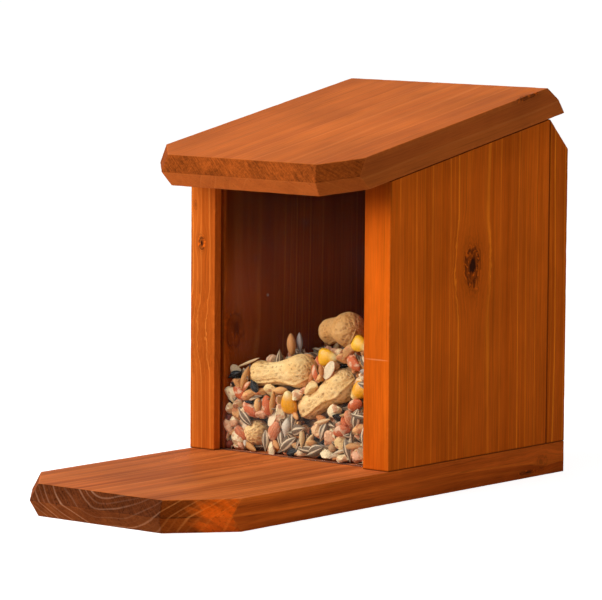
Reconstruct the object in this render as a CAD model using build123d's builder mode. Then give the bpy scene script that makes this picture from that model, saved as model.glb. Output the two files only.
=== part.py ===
from build123d import *
import os
from math import cos, hypot, radians, sin, tan

# A wooden feeder for birds and squirrels: a hopper box that stands on a long perch board,
# with a clear front window in grooves and a sloping roof that lifts on two small hinges.
# Millimetres, X to the right, Y to the back, Z up. The origin is the middle of the underside.

# Boards
board = 15.0
box_width = 120.0
perch_length = 136.0
panel_depth = 124.0
panel_front_height = 134.0

# Nosed front ends: a ridge at half thickness, and corners clipped across and along the board
nose_set_back = 4.0
base_clip_across = 21.5
base_clip_along = 25.0
roof_clip_across = 14.0
roof_clip_along = 15.5

# Roof
roof_pitch = 10.5
roof_front_overhang = 37.0
roof_back_overhang = 12.0
roof_back_lower_bevel = 3.7
roof_back_upper_bevel = 7.9
lid_seat_gap = 0.2

# Back board and its holes for hanging
back_bevel = 45.0
wall_hole_radius = 2.5
wall_hole_spacing = 50.0
wall_hole_height = 135.0

# Window and its grooves
window_thickness = 2.0
window_set_back = 5.0
window_travel = 2.0
window_head_gap = 0.5
window_side_gap = 0.5
groove_depth = 5.0
groove_gap = 0.3

# Hinges, in the wedge between the roof's back overhang and the back board's bevel
hinge_length = 25.0
hinge_inset = 30.0
hinge_wood_gap = 0.3
leaf_thickness = 0.8
leaf_length = 7.8
knuckle_radius = 1.5
knuckle_count = 5
knuckle_gap = 0.2
pin_radius = 0.8
pin_gap = 0.05
pin_head_radius = 1.2
pin_head_length = 0.5

# Hinge screws
hinge_screw_radius = 0.9
hinge_screw_length = 5.5
hinge_screw_point = 1.5
hinge_screw_spacing = 15.0
hinge_screw_reach = 5.0

# Wood screws between the boards
wood_screw_radius = 1.75
wood_screw_head_radius = 3.5
wood_screw_length = 35.0
wood_screw_point = 4.0
screw_gap = 0.1
panel_screw_inset = 25.0
base_back_screw_inset = 25.0
back_screw_inset = 25.0

# Feed: heights of the heap above the base at the four corners of the hopper
feed_gap = 0.5
feed_window_gap = 1.5
feed_front_left = 37.0
feed_front_right = 57.0
feed_back_left = 48.0
feed_back_right = 70.0

# Peanuts in their shells: two round lobes joined by a hollow waist
peanut_length = 37.0
peanut_large_lobe = 8.4
peanut_small_lobe = 6.4
peanut_waist_round = 35.0
peanut_gap = 0.3
peanut_window_gap = 0.5

# Where the peanuts lie: from a side panel, behind the window, above the base or above the heap's top
low_right_from_right = 33.5
low_right_above_base = 30.0
end_on_from_left = 15.0
end_on_above_base = 9.0
level_from_left = 28.3
level_behind = 10.0
level_above_heap = -5.9
high_right_from_right = 35.5
high_right_behind = 20.6
high_right_above_heap = 8.1

# Places that follow from the sizes
base_length = perch_length + panel_depth + board
y_nose = -base_length / 2
y_front = y_nose + perch_length
y_hopper_back = y_front + panel_depth
y_back = base_length / 2
inner_half_width = box_width / 2 - board
panel_middle = box_width / 2 - board / 2
z_front = board + panel_front_height
z_apex = z_front + panel_depth * tan(radians(roof_pitch))
z_bevel_foot = z_apex - board * tan(radians(back_bevel))
y_window = y_front + window_set_back
y_window_back = y_window + window_thickness
mid_board = board / 2

# Slopes of the roof and of the back board's bevel, and the hinge axis between them
pitch = radians(roof_pitch)
bevel = radians(back_bevel)
roof_up = Vector(0, -sin(pitch), cos(pitch))
bevel_down = Vector(0, -sin(bevel), -cos(bevel))
axis_to_wood = knuckle_radius + hinge_wood_gap
axis_below_seat = axis_to_wood - lid_seat_gap
wedge_sine = sin(pitch + bevel)
y_hinge = y_hopper_back + (axis_below_seat * cos(bevel) + axis_to_wood * cos(pitch)) / wedge_sine
z_hinge = z_apex + (axis_to_wood * sin(pitch) - axis_below_seat * sin(bevel)) / wedge_sine

# Each frame has its Z axis into the wood and its Y axis away from the hinge
lid_frame = Plane(origin=(0, y_hinge, z_hinge), x_dir=(1, 0, 0), z_dir=roof_up)
back_frame = Plane(origin=(0, y_hinge, z_hinge), x_dir=(-1, 0, 0), z_dir=bevel_down)
roof_seat = Plane(origin=(0, y_front, z_front), x_dir=(1, 0, 0), z_dir=roof_up).offset(lid_seat_gap)

os.makedirs("parts", exist_ok=True)


def save(solid, name):
    """Label a finished piece and write it as its own file."""
    solid.label = name
    export_step(solid, f"parts/{name}.step")


def nosed_outline(front, back, clip_across, clip_along, set_back):
    """Corners of a board whose front corners are clipped, with its front edges set back."""
    half = box_width / 2
    slant = hypot(clip_across, clip_along)
    x_clip = half - clip_across - set_back * (slant - clip_across) / clip_along
    y_clip = front + clip_along + set_back * slant / clip_across
    y_edge = front + set_back
    return [
        (-half, back),
        (-half, y_clip),
        (-x_clip, y_edge),
        (x_clip, y_edge),
        (half, y_clip),
        (half, back),
    ]


def feed_height(x, y):
    """Height of the heap's top above the base at a place in the hopper."""
    across = (x + inner_half_width) / (2 * inner_half_width)
    along = (y - y_window_back) / (y_hopper_back - y_window_back)
    front = feed_front_left + (feed_front_right - feed_front_left) * across
    back = feed_back_left + (feed_back_right - feed_back_left) * across
    return front + (back - front) * along


# Forms of the two kinds of countersunk screw, with the head's rim at the origin and the point down
with BuildPart() as wood_screw:
    with BuildSketch(Plane.XZ):
        with BuildLine():
            Polyline(
                (0, 0),
                (wood_screw_head_radius, 0),
                (wood_screw_radius, wood_screw_radius - wood_screw_head_radius),
                (wood_screw_radius, wood_screw_point - wood_screw_length),
                (0, -wood_screw_length),
                close=True,
            )
        make_face()
    revolve(axis=Axis.Z)

with BuildPart() as hinge_screw:
    with BuildSketch(Plane.XZ):
        with BuildLine():
            Polyline(
                (0, 0),
                (hinge_screw_radius + leaf_thickness, 0),
                (hinge_screw_radius, -leaf_thickness),
                (hinge_screw_radius, hinge_screw_point - hinge_screw_length),
                (0, -hinge_screw_length),
                close=True,
            )
        make_face()
    revolve(axis=Axis.Z)

# Places of the screws, each with its Z axis out of the hole
underside = Plane(origin=(0, 0, 0), x_dir=(1, 0, 0), z_dir=(0, 0, -1))
wall_face = Plane(origin=(0, y_back, 0), x_dir=(-1, 0, 0), z_dir=(0, 1, 0))
panel_screw_rows = (y_front + panel_screw_inset, y_hopper_back - panel_screw_inset)
panel_screw_places = [
    underside * Location((x, -y, 0)) for x in (-panel_middle, panel_middle) for y in panel_screw_rows
]
base_back_screw_places = [
    underside * Location((x, -(y_hopper_back + mid_board), 0))
    for x in (base_back_screw_inset - box_width / 2, box_width / 2 - base_back_screw_inset)
]
back_screw_rows = (board + back_screw_inset, z_bevel_foot - back_screw_inset)
back_screw_places = [
    wall_face * Location((x, z, 0)) for x in (-panel_middle, panel_middle) for z in back_screw_rows
]
hinge_places = {"left": hinge_inset - box_width / 2, "right": box_width / 2 - hinge_inset}
hinge_screw_columns = [
    x + step for x in hinge_places.values() for step in (-hinge_screw_spacing / 2, hinge_screw_spacing / 2)
]


def hinge_screw_places(frame):
    """Places of the hinge screws on the open face of a leaf."""
    facing = frame.rotated((180, 0, 0))
    return [
        facing * Location((x, -hinge_screw_reach, leaf_thickness - axis_to_wood)) for x in hinge_screw_columns
    ]


# Base board: perch in front, floor of the hopper, countersunk screw holes from below
with BuildPart() as base_board:
    for height, set_back in ((0, nose_set_back), (mid_board, 0), (board, nose_set_back)):
        outline = nosed_outline(y_nose, y_back, base_clip_across, base_clip_along, set_back)
        with BuildSketch(Plane.XY.offset(height)):
            with BuildLine():
                Polyline(*outline, close=True)
            make_face()
    loft(ruled=True)
    with Locations(*panel_screw_places, *base_back_screw_places):
        CounterSinkHole(
            radius=wood_screw_radius + screw_gap,
            counter_sink_radius=wood_screw_head_radius + screw_gap,
            counter_sink_angle=90,
            depth=2 * board,
        )
save(base_board.part, "base_board")

# Side panels: sloped tops, a groove for the window inside, screw holes in the bottom and the back
for side, direction in (("left", -1), ("right", 1)):
    outer_face = Plane.YZ.offset(direction * box_width / 2)
    with BuildPart() as side_panel:
        with BuildSketch(outer_face):
            with BuildLine():
                Polyline(
                    (y_front, board),
                    (y_hopper_back, board),
                    (y_hopper_back, z_apex),
                    (y_front, z_front),
                    close=True,
                )
            make_face()
        extrude(amount=-direction * board)
        with BuildSketch(Plane.XY.offset(board)):
            with Locations((direction * inner_half_width, y_window + window_thickness / 2)):
                Rectangle(2 * groove_depth, window_thickness + 2 * groove_gap)
        extrude(amount=z_apex - board, mode=Mode.SUBTRACT)
        with Locations(*panel_screw_places, *back_screw_places):
            Hole(radius=wood_screw_radius + screw_gap, depth=wood_screw_length + screw_gap)
    save(side_panel.part, f"{side}_side_panel")

# Back board: its top is bevelled to make room for the hinges, and it carries the hanging holes
with BuildPart() as back_board:
    with BuildSketch(Plane.YZ.offset(-box_width / 2)):
        with BuildLine():
            Polyline(
                (y_hopper_back, board),
                (y_back, board),
                (y_back, z_bevel_foot),
                (y_hopper_back, z_apex),
                close=True,
            )
        make_face()
    extrude(amount=box_width)
    with Locations(wall_face * Location((0, wall_hole_height, 0))):
        with GridLocations(wall_hole_spacing, 1, 2, 1):
            Hole(radius=wall_hole_radius, depth=board)
    with Locations(*back_screw_places):
        CounterSinkHole(
            radius=wood_screw_radius + screw_gap,
            counter_sink_radius=wood_screw_head_radius + screw_gap,
            counter_sink_angle=90,
            depth=2 * board,
        )
    with Locations(*base_back_screw_places):
        Hole(radius=wood_screw_radius + screw_gap, depth=wood_screw_length + screw_gap)
    with Locations(*hinge_screw_places(back_frame)):
        Hole(radius=hinge_screw_radius + screw_gap, depth=hinge_screw_length + screw_gap)
save(back_board.part, "back_board")

# Roof: nosed in front, bevelled at the back so that it can swing up in front of a wall
roof_run = panel_depth / cos(pitch)
roof_back = roof_run + roof_back_overhang
roof_levels = (
    (0, nose_set_back, roof_back),
    (mid_board, 0, roof_back - roof_back_lower_bevel),
    (board, nose_set_back, roof_back - roof_back_lower_bevel - roof_back_upper_bevel),
)
with BuildPart() as roof_lid:
    for height, set_back, back in roof_levels:
        outline = nosed_outline(-roof_front_overhang, back, roof_clip_across, roof_clip_along, set_back)
        with BuildSketch(roof_seat.offset(height)):
            with BuildLine():
                Polyline(*outline, close=True)
            make_face()
    loft(ruled=True)
    with Locations(*hinge_screw_places(lid_frame)):
        Hole(radius=hinge_screw_radius + screw_gap, depth=hinge_screw_length + screw_gap)
save(roof_lid.part, "roof_lid")

# Window: a clear sheet that stands on the base in the panels' grooves
window_width = 2 * (inner_half_width + groove_depth - window_side_gap)
z_window_top = z_front + window_set_back * tan(pitch) - window_travel - window_head_gap
with BuildPart() as front_window:
    with BuildSketch(Plane.XY.offset(board)):
        with Locations((0, y_window + window_thickness / 2)):
            Rectangle(window_width, window_thickness)
    extrude(amount=z_window_top - board)
save(front_window.part, "front_window")

# Hinges: the back leaf holds the outer knuckles and the pin, the lid leaf the ones between them
knuckle_pitch = hinge_length / knuckle_count
knuckle_steps = [(i - (knuckle_count - 1) / 2) * knuckle_pitch for i in range(knuckle_count)]
leaves = (("back", back_frame, knuckle_steps[0::2], knuckle_steps[1::2]),
          ("lid", lid_frame, knuckle_steps[1::2], knuckle_steps[0::2]))
for side, x_hinge in hinge_places.items():
    for leaf_name, frame, own_steps, other_steps in leaves:
        x_leaf = x_hinge * frame.x_dir.X
        with BuildPart() as leaf:
            with Locations(frame):
                with Locations((x_leaf, leaf_length / 2, axis_to_wood - leaf_thickness / 2)):
                    Box(hinge_length, leaf_length, leaf_thickness)
                with Locations(*[(x_leaf + step, 0, 0) for step in other_steps]):
                    Box(knuckle_pitch + knuckle_gap, 2 * axis_to_wood, 2 * axis_to_wood, mode=Mode.SUBTRACT)
                with Locations(*[(x_leaf + step, 0, 0) for step in own_steps]):
                    Cylinder(knuckle_radius, knuckle_pitch - knuckle_gap, rotation=(0, 90, 0))
                with Locations((x_leaf, 0, 0)):
                    Cylinder(pin_radius + pin_gap, 2 * hinge_length, rotation=(0, 90, 0), mode=Mode.SUBTRACT)
            with Locations(*hinge_screw_places(frame)):
                CounterSinkHole(
                    radius=hinge_screw_radius + screw_gap,
                    counter_sink_radius=hinge_screw_radius + leaf_thickness + screw_gap,
                    counter_sink_angle=90,
                    depth=2 * leaf_thickness,
                )
        save(leaf.part, f"hinge_leaf_{leaf_name}_{side}")
    head_middle = hinge_length / 2 + pin_gap + pin_head_length / 2
    with BuildPart(Plane(origin=(x_hinge, y_hinge, z_hinge), z_dir=(1, 0, 0))) as hinge_pin:
        Cylinder(pin_radius, 2 * head_middle)
        with Locations((0, 0, head_middle), (0, 0, -head_middle)):
            Cylinder(pin_head_radius, pin_head_length)
    save(hinge_pin.part, f"hinge_pin_{side}")

# Screws, in groups by what they hold
screw_groups = (
    ("panel_screws", wood_screw, panel_screw_places),
    ("base_back_screws", wood_screw, base_back_screw_places),
    ("back_board_screws", wood_screw, back_screw_places),
    ("hinge_screws_back", hinge_screw, hinge_screw_places(back_frame)),
    ("hinge_screws_lid", hinge_screw, hinge_screw_places(lid_frame)),
)
for group_name, form, places in screw_groups:
    with BuildPart() as screws:
        with Locations(*places):
            add(form.part)
    save(screws.part, group_name)

# Peanuts: place of the middle across the hopper and behind the window, height, turn and tilt
low_right_x = inner_half_width - low_right_from_right
low_right_behind = peanut_large_lobe + peanut_window_gap
end_on_x = end_on_from_left - inner_half_width
end_on_behind = peanut_length / 2 + peanut_window_gap
level_x = level_from_left - inner_half_width
high_right_x = inner_half_width - high_right_from_right
window_peanuts = (
    ("peanut_low_right", low_right_x, low_right_behind, low_right_above_base, 0, -31),
    ("peanut_end_on", end_on_x, end_on_behind, end_on_above_base, 90, 0),
)
top_peanuts = (
    ("peanut_across", level_x, level_behind, level_above_heap, 5, -6),
    ("peanut_high_right", high_right_x, high_right_behind, high_right_above_heap, -29, -10),
)
peanut_places = {
    name: Location((x, y_window_back + behind, board + height), (0, tilt, turn))
    for name, x, behind, height, turn, tilt in window_peanuts
}
for name, x, behind, above, turn, tilt in top_peanuts:
    y = y_window_back + behind
    peanut_places[name] = Location((x, y, board + feed_height(x, y) + above), (0, tilt, turn))


def peanut_form(margin):
    """A shell along X: the waist's arc touches both lobes, and a margin swells the whole."""
    half = peanut_length / 2
    x_large = half - peanut_large_lobe
    x_small = peanut_small_lobe - half
    to_large = peanut_large_lobe + peanut_waist_round
    to_small = peanut_small_lobe + peanut_waist_round
    x_waist = (to_small**2 - to_large**2 + x_large**2 - x_small**2) / (2 * (x_large - x_small))
    z_waist = (to_large**2 - (x_waist - x_large) ** 2) ** 0.5
    large = peanut_large_lobe + margin
    small = peanut_small_lobe + margin
    small_touch = Vector(x_small, 0) + Vector(x_waist - x_small, z_waist) * (small / to_small)
    large_touch = Vector(x_large, 0) + Vector(x_waist - x_large, z_waist) * (large / to_large)
    waist_bottom = (x_waist, z_waist - peanut_waist_round + margin)
    with BuildPart() as form:
        with BuildSketch(Plane.XZ):
            with BuildLine():
                TangentArc((-half - margin, 0), small_touch, tangent=(0, 1))
                ThreePointArc(small_touch, waist_bottom, large_touch)
                TangentArc((half + margin, 0), large_touch, tangent=(0, 1))
                Line((half + margin, 0), (-half - margin, 0))
            make_face()
        revolve(axis=Axis.X)
    return form.part


for name, place in peanut_places.items():
    with BuildPart() as placed_peanut:
        with Locations(place):
            add(peanut_form(0))
    save(placed_peanut.part, name)

# Seed heap: fills the hopper behind the window and leaves room for the peanuts
feed_half_width = inner_half_width - feed_gap
feed_front = y_window_back + feed_window_gap
feed_back = y_hopper_back - feed_gap
with BuildPart() as seed_heap:
    for x in (-feed_half_width, feed_half_width):
        with BuildSketch(Plane.YZ.offset(x)):
            with BuildLine():
                Polyline(
                    (feed_front, board),
                    (feed_back, board),
                    (feed_back, board + feed_height(x, feed_back)),
                    (feed_front, board + feed_height(x, feed_front)),
                    close=True,
                )
            make_face()
    loft(ruled=True)
    with Locations(*peanut_places.values()):
        add(peanut_form(peanut_gap), mode=Mode.SUBTRACT)
save(seed_heap.part, "seed_heap")
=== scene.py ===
import math
from bisect import bisect_left

import bmesh
import bpy
import numpy as np
from mathutils import Matrix, Vector, kdtree, noise


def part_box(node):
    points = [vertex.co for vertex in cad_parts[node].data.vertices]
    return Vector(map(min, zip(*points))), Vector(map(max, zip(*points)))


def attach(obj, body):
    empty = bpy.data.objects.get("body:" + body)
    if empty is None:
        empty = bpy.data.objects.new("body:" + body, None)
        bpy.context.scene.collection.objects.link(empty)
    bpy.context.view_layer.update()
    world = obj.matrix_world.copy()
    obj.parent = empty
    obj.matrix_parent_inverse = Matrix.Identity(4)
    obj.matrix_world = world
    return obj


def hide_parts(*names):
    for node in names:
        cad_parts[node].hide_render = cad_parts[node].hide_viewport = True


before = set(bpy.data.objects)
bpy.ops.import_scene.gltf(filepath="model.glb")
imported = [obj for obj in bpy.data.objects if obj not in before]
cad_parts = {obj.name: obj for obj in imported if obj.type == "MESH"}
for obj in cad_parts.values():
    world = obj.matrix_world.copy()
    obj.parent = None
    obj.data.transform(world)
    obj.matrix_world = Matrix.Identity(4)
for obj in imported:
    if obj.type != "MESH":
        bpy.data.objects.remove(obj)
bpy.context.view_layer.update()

# Looks of a wooden feeder: stained boards, a clear window, hinges, screws, peanuts and mixed seed.
# Shapes are worked out in millimetres, in the frame of the CAD model, and scaled when they become meshes.
MM = 0.001
X_AXIS, Y_AXIS, Z_AXIS = (1.0, 0.0, 0.0), (0.0, 1.0, 0.0), (0.0, 0.0, 1.0)
WHITE = (1.0, 1.0, 1.0, 1.0)


def node_box(name):
    """Lowest and highest corner of a CAD node, in millimetres."""
    low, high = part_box(name)
    return np.array(low) / MM, np.array(high) / MM


# Sizes that the frame gives
base_low, base_high = node_box("base_board")
panel_low, panel_high = node_box("right_side_panel")
window_low, window_high = node_box("front_window")
BOARD = base_high[2] - base_low[2]
HALF_WIDTH = base_high[0]
INNER_HALF = panel_low[0]
PANEL_MIDDLE = HALF_WIDTH - BOARD / 2
Y_NOSE, Y_BACK = base_low[1], base_high[1]
Y_FRONT, Y_HOPPER_BACK = panel_low[1], panel_high[1]
Z_APEX = panel_high[2]
Y_PANE = window_high[1]

# Sizes of the boards' ends and of the roof, as in the CAD model
ROOF_PITCH = math.radians(10.5)
NOSE_SET_BACK = 4.0
BASE_CLIP = (21.5, 25.0)
ROOF_CLIP = (14.0, 15.5)
ROOF_FRONT_OVERHANG = 37.0
ROOF_BACK_OVERHANG = 12.0
ROOF_BACK_BEVELS = (3.7, 7.9)
LID_SEAT_GAP = 0.2
GROOVE_DEPTH = 5.0
GROOVE_GAP = 0.3
Z_FRONT = Z_APEX - (Y_HOPPER_BACK - Y_FRONT) * math.tan(ROOF_PITCH)
Z_BEVEL_FOOT = Z_APEX - BOARD

# Screws and the holes for hanging
WALL_HOLE_RADIUS, WALL_HOLE_SPACING, WALL_HOLE_HEIGHT = 2.5, 50.0, 135.0
SCREW_INSET = 25.0
SCREW_RADIUS, SCREW_HEAD_RADIUS, SCREW_LENGTH, SCREW_POINT = 1.75, 3.5, 35.0, 4.0
SCREW_PITCH = 1.6
SCREW_GAP = 0.1
CUTTER_RISE = 1.0
PANEL_SCREW_ROWS = (Y_FRONT + SCREW_INSET, Y_HOPPER_BACK - SCREW_INSET)
PANEL_SCREWS = [(x, y) for x in (-PANEL_MIDDLE, PANEL_MIDDLE) for y in PANEL_SCREW_ROWS]
BASE_BACK_COLUMNS = (SCREW_INSET - HALF_WIDTH, HALF_WIDTH - SCREW_INSET)
BASE_BACK_SCREWS = [(x, Y_HOPPER_BACK + BOARD / 2) for x in BASE_BACK_COLUMNS]
BACK_SCREW_ROWS = (BOARD + SCREW_INSET, Z_BEVEL_FOOT - SCREW_INSET)
BACK_SCREWS = [(x, z) for x in (-PANEL_MIDDLE, PANEL_MIDDLE) for z in BACK_SCREW_ROWS]


# Materials

def linear(red, green, blue):
    """A colour given in 0 to 255 screen values, as linear values with alpha."""
    screen = np.array((red, green, blue)) / 255
    curved = ((screen + 0.055) / 1.055) ** 2.4
    return (*np.where(screen <= 0.04045, screen / 12.92, curved).tolist(), 1.0)


class Wire:
    """The output of a shader node. Sums and products of wires add the nodes that work them out."""

    def __init__(self, graph, socket):
        self.graph = graph
        self.socket = socket
        self.is_vector = socket.type in ("VECTOR", "RGBA")

    def worked(self, operation, first, second=0.0):
        kind = "VectorMath" if self.is_vector else "Math"
        return self.graph.node(kind, {0: first, 1: second}, operation=operation)

    def apply(self, operation):
        return self.worked(operation, self)

    def most(self, other):
        """The greater of two numbers."""
        return self.worked("MAXIMUM", self, other)

    def __abs__(self):
        return self.apply("ABSOLUTE")

    def __add__(self, other):
        return self.worked("ADD", self, other)

    def __sub__(self, other):
        return self.worked("SUBTRACT", self, other)

    def __rsub__(self, other):
        return self.worked("SUBTRACT", other, self)

    def __truediv__(self, other):
        return self.worked("DIVIDE", self, other)

    def __mul__(self, other):
        """The product of two of a kind, or a vector scaled by a number."""
        other_is_vector = other.is_vector if isinstance(other, Wire) else isinstance(other, tuple)
        if self.is_vector == other_is_vector:
            return self.worked("MULTIPLY", self, other)
        vector, factor = (self, other) if self.is_vector else (other, self)
        return self.graph.node("VectorMath", {0: vector, "Scale": factor}, operation="SCALE")

    def dot(self, axis):
        return self.graph.node("VectorMath", {0: self, 1: axis}, "Value", operation="DOT_PRODUCT")

    def length(self):
        return self.graph.node("VectorMath", {0: self}, "Value", operation="LENGTH")


class Graph:
    """Builds the nodes of a material or a world: each call adds a node and returns its output."""

    def __init__(self, owner):
        owner.use_nodes = True
        self.owner = owner
        self.tree = owner.node_tree
        self.tree.nodes.clear()

    def node(self, kind, inputs=None, output=0, **settings):
        made = self.tree.nodes.new("ShaderNode" + kind)
        for key, value in settings.items():
            setattr(made, key, value)
        for key, value in (inputs or {}).items():
            if isinstance(value, Wire):
                self.tree.links.new(value.socket, made.inputs[key])
            else:
                made.inputs[key].default_value = value
        return Wire(self, made.outputs[output]) if made.outputs else None

    def combine(self, x, y, z):
        return self.node("CombineXYZ", {0: x, 1: y, 2: z})

    def remap(self, value, low, high, to_low=0.0, to_high=1.0):
        inputs = {"Value": value, 1: low, 2: high, 3: to_low, 4: to_high}
        return self.node("MapRange", inputs, interpolation_type="SMOOTHSTEP")

    def fall(self, value, low, high, top=1.0):
        """From a top value down to nothing."""
        return self.remap(value, low, high, top, 0.0)

    def band(self, value, rise_low, rise_high, fall_low, fall_high, top=1.0):
        """Up from nothing to a top value and down again."""
        return self.remap(value, rise_low, rise_high) * self.fall(value, fall_low, fall_high, top)

    def mix(self, factor, a, b):
        """A blend of two colours: wires, linear values with alpha, or three screen values."""
        a, b = (linear(*c) if isinstance(c, tuple) and len(c) == 3 else c for c in (a, b))
        return self.node("Mix", {0: factor, 6: a, 7: b}, output=2, data_type="RGBA")

    def noise(self, vector, scale=1.0, detail=2.0, rough=0.5, output="Fac"):
        inputs = {"Vector": vector, "Scale": scale, "Detail": detail, "Roughness": rough}
        return self.node("TexNoise", inputs, output=output)

    def noise_vector(self, vector, amount, detail=2.0):
        """Noise as a vector of about plus or minus the given amounts."""
        centred = self.noise(vector, detail=detail, output="Color") - (0.5, 0.5, 0.5)
        return centred * tuple(2 * a for a in amount)

    def random(self, value):
        return self.node("TexWhiteNoise", {"W": value}, output="Value", noise_dimensions="1D")

    def attribute(self, name, output="Fac"):
        return self.node("Attribute", output=output, attribute_name=name)

    def place(self):
        """Place on the piece in millimetres: it stays with the piece when its body moves."""
        return self.node("TexCoord", output="Object") * (1 / MM)

    def bump(self, height, distance, strength=0.6):
        return self.node("Bump", {"Height": height, "Distance": distance * MM, "Strength": strength})

    def blend(self, factor, a, b):
        return self.node("MixShader", {0: factor, 1: a, 2: b})

    def finish(self, shader):
        self.node("OutputMaterial", {"Surface": shader})
        return self.owner

    def surface(self, colour, rough, normal, gloss=0.5, metal=0.0):
        """Finish the material as an opaque surface."""
        return self.finish(self.node("BsdfPrincipled", {
            "Base Color": colour, "Roughness": rough, "Normal": normal,
            "Specular IOR Level": gloss, "Metallic": metal}))


def new_graph(name):
    return Graph(bpy.data.materials.new(name))


def background_rays(g):
    """1 for rays that show the background: seen directly, mirrored or through the window."""
    kinds = ("Camera", "Glossy", "Transmission")
    camera, glossy, through = (g.node("LightPath", output=f"Is {kind} Ray") for kind in kinds)
    return camera.most(glossy).most(through)


# Wood

# How fast each texture changes across, through and along the grain
SLOW_GRAIN = (0.012, 0.012, 0.0045)
QUICK_GRAIN = (0.07, 0.07, 0.010)
RING_DRIFT = (0.03, 0.03, 0.0)
FAINT_GRAIN = (0.05, 0.05, 0.012)
FIBRE_GRAIN = (1.5, 1.5, 0.03)
THREAD_GRAIN = (5.5, 5.5, 0.12)
STREAK_GRAIN = (0.16, 0.16, 0.004)
BLOTCH_GRAIN = (0.03, 0.03, 0.018)
DASH_GRAIN = (0.8, 0.8, 0.014)
KNOT_UNEVEN = (0.36, 0.36, 0.15)
SAW_FUZZ = (0.9, 0.9, 0.9)

# Steps to another place in a noise, so that no two boards or seeds are alike
NOISE_STEP = (31.0, 17.0, 53.0)
FIBRE_STEP = (7.0, 3.0, 29.0)

WOOD_GLOSS = 0.009
WORN_COLOUR = (226, 120, 44)
SCRATCH_COLOUR = (244, 160, 100)

SLOPE = (0.0, math.cos(ROOF_PITCH), math.sin(ROOF_PITCH))
ROOF_NORMAL = (0.0, -math.sin(ROOF_PITCH), math.cos(ROOF_PITCH))
ROOF_LINE = float(Z_FRONT * ROOF_NORMAL[2] + Y_FRONT * ROOF_NORMAL[1])


def stepped(step, count):
    return tuple(count * s for s in step)


def painted_light_patch(g, spot, end, centre, reach):
    """Share of an end painted paler, as painted light: a ragged patch round a place."""
    slanted = g.combine(spot.dot((0.1, 0.1, 0.3)), spot.dot((0.05, 0.05, -0.02)), 0.0)
    ragged = g.remap(g.noise(slanted), 0.25, 0.75, -0.4, 0.4)
    away = (spot - centre).length() / reach + ragged
    return end * g.fall(away, 0.45, 1.6, 0.95)


def knot_flow(g, spot, grain, knots):
    """The grain as knots push it aside, and each knot's distance in radii with its darkness."""
    flow = grain
    eyes = []
    for centre, radii, pinch, dark in knots:
        offset = grain - centre
        uneven = g.noise(spot * KNOT_UNEVEN, detail=3.0, rough=0.55)
        reach = (offset / radii).length() + g.remap(uneven, 0.25, 0.75, -0.26, 0.26)
        aside = offset * (1.0, 1.0 if radii[1] < BOARD else 0.0, 0.0)
        flow = flow - aside * g.fall(reach, 0.4, 3.6, pinch)
        eyes.append((reach, dark))
    return flow, eyes


def paint_knots(g, spot, colour, eyes):
    """Eyes of the knots: brown, with a dark rim, orange flecks and a dark heart."""
    flecks = g.remap(g.noise(spot, 0.5, 3.0), 0.54, 0.64)
    for reach, amount in eyes:
        waves = g.remap((reach * 16.0).apply("SINE"), -0.2, 0.8)
        halo = g.fall(reach, 1.0, 2.6, 0.16 * amount)
        bright = g.band(reach, 0.35, 0.55, 1.15, 1.6, 0.7 * amount)
        for share, tone in (
            (waves * g.fall(reach, 0.8, 2.2, 0.3 * amount), (84, 32, 8)),
            (g.fall(reach, 0.6, 1.1, 0.62 * amount).most(halo), (92, 36, 8)),
            (g.band(reach, 0.7, 0.86, 0.94, 1.16, 0.7 * amount), (70, 28, 8)),
            (bright * flecks, (232, 104, 20)),
            (g.fall(reach, 0.22, 0.52, 0.95 * amount), (48, 20, 9)),
        ):
            colour = g.mix(share, colour, tone)
    return colour


def painted_roof_shade(g, spot, front_dark, front_reach, side_dark):
    """Painted shade under the roof, standing for its shadow: darkest inside the hopper, less on the front
    edges and on the outside.
    """
    below_roof = ROOF_LINE - spot.dot(ROOF_NORMAL)
    backward = spot.dot(Y_AXIS)
    inside = g.fall(abs(spot.dot(X_AXIS)), INNER_HALF + 0.2, INNER_HALF + 0.6)
    inside = inside * g.fall(backward, Y_HOPPER_BACK + 0.2, Y_HOPPER_BACK + 0.6)
    inside = inside * g.remap(backward, Y_PANE, Y_PANE + 2.0) * g.fall(below_roof, 15.0, 70.0, 0.65)
    front = g.fall(backward, Y_FRONT + 0.5, Y_FRONT + 2.0) * g.fall(below_roof, 0.0, front_reach, front_dark)
    return inside.most(front).most(g.fall(below_roof, 0.0, 20.0, side_dark))


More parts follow.
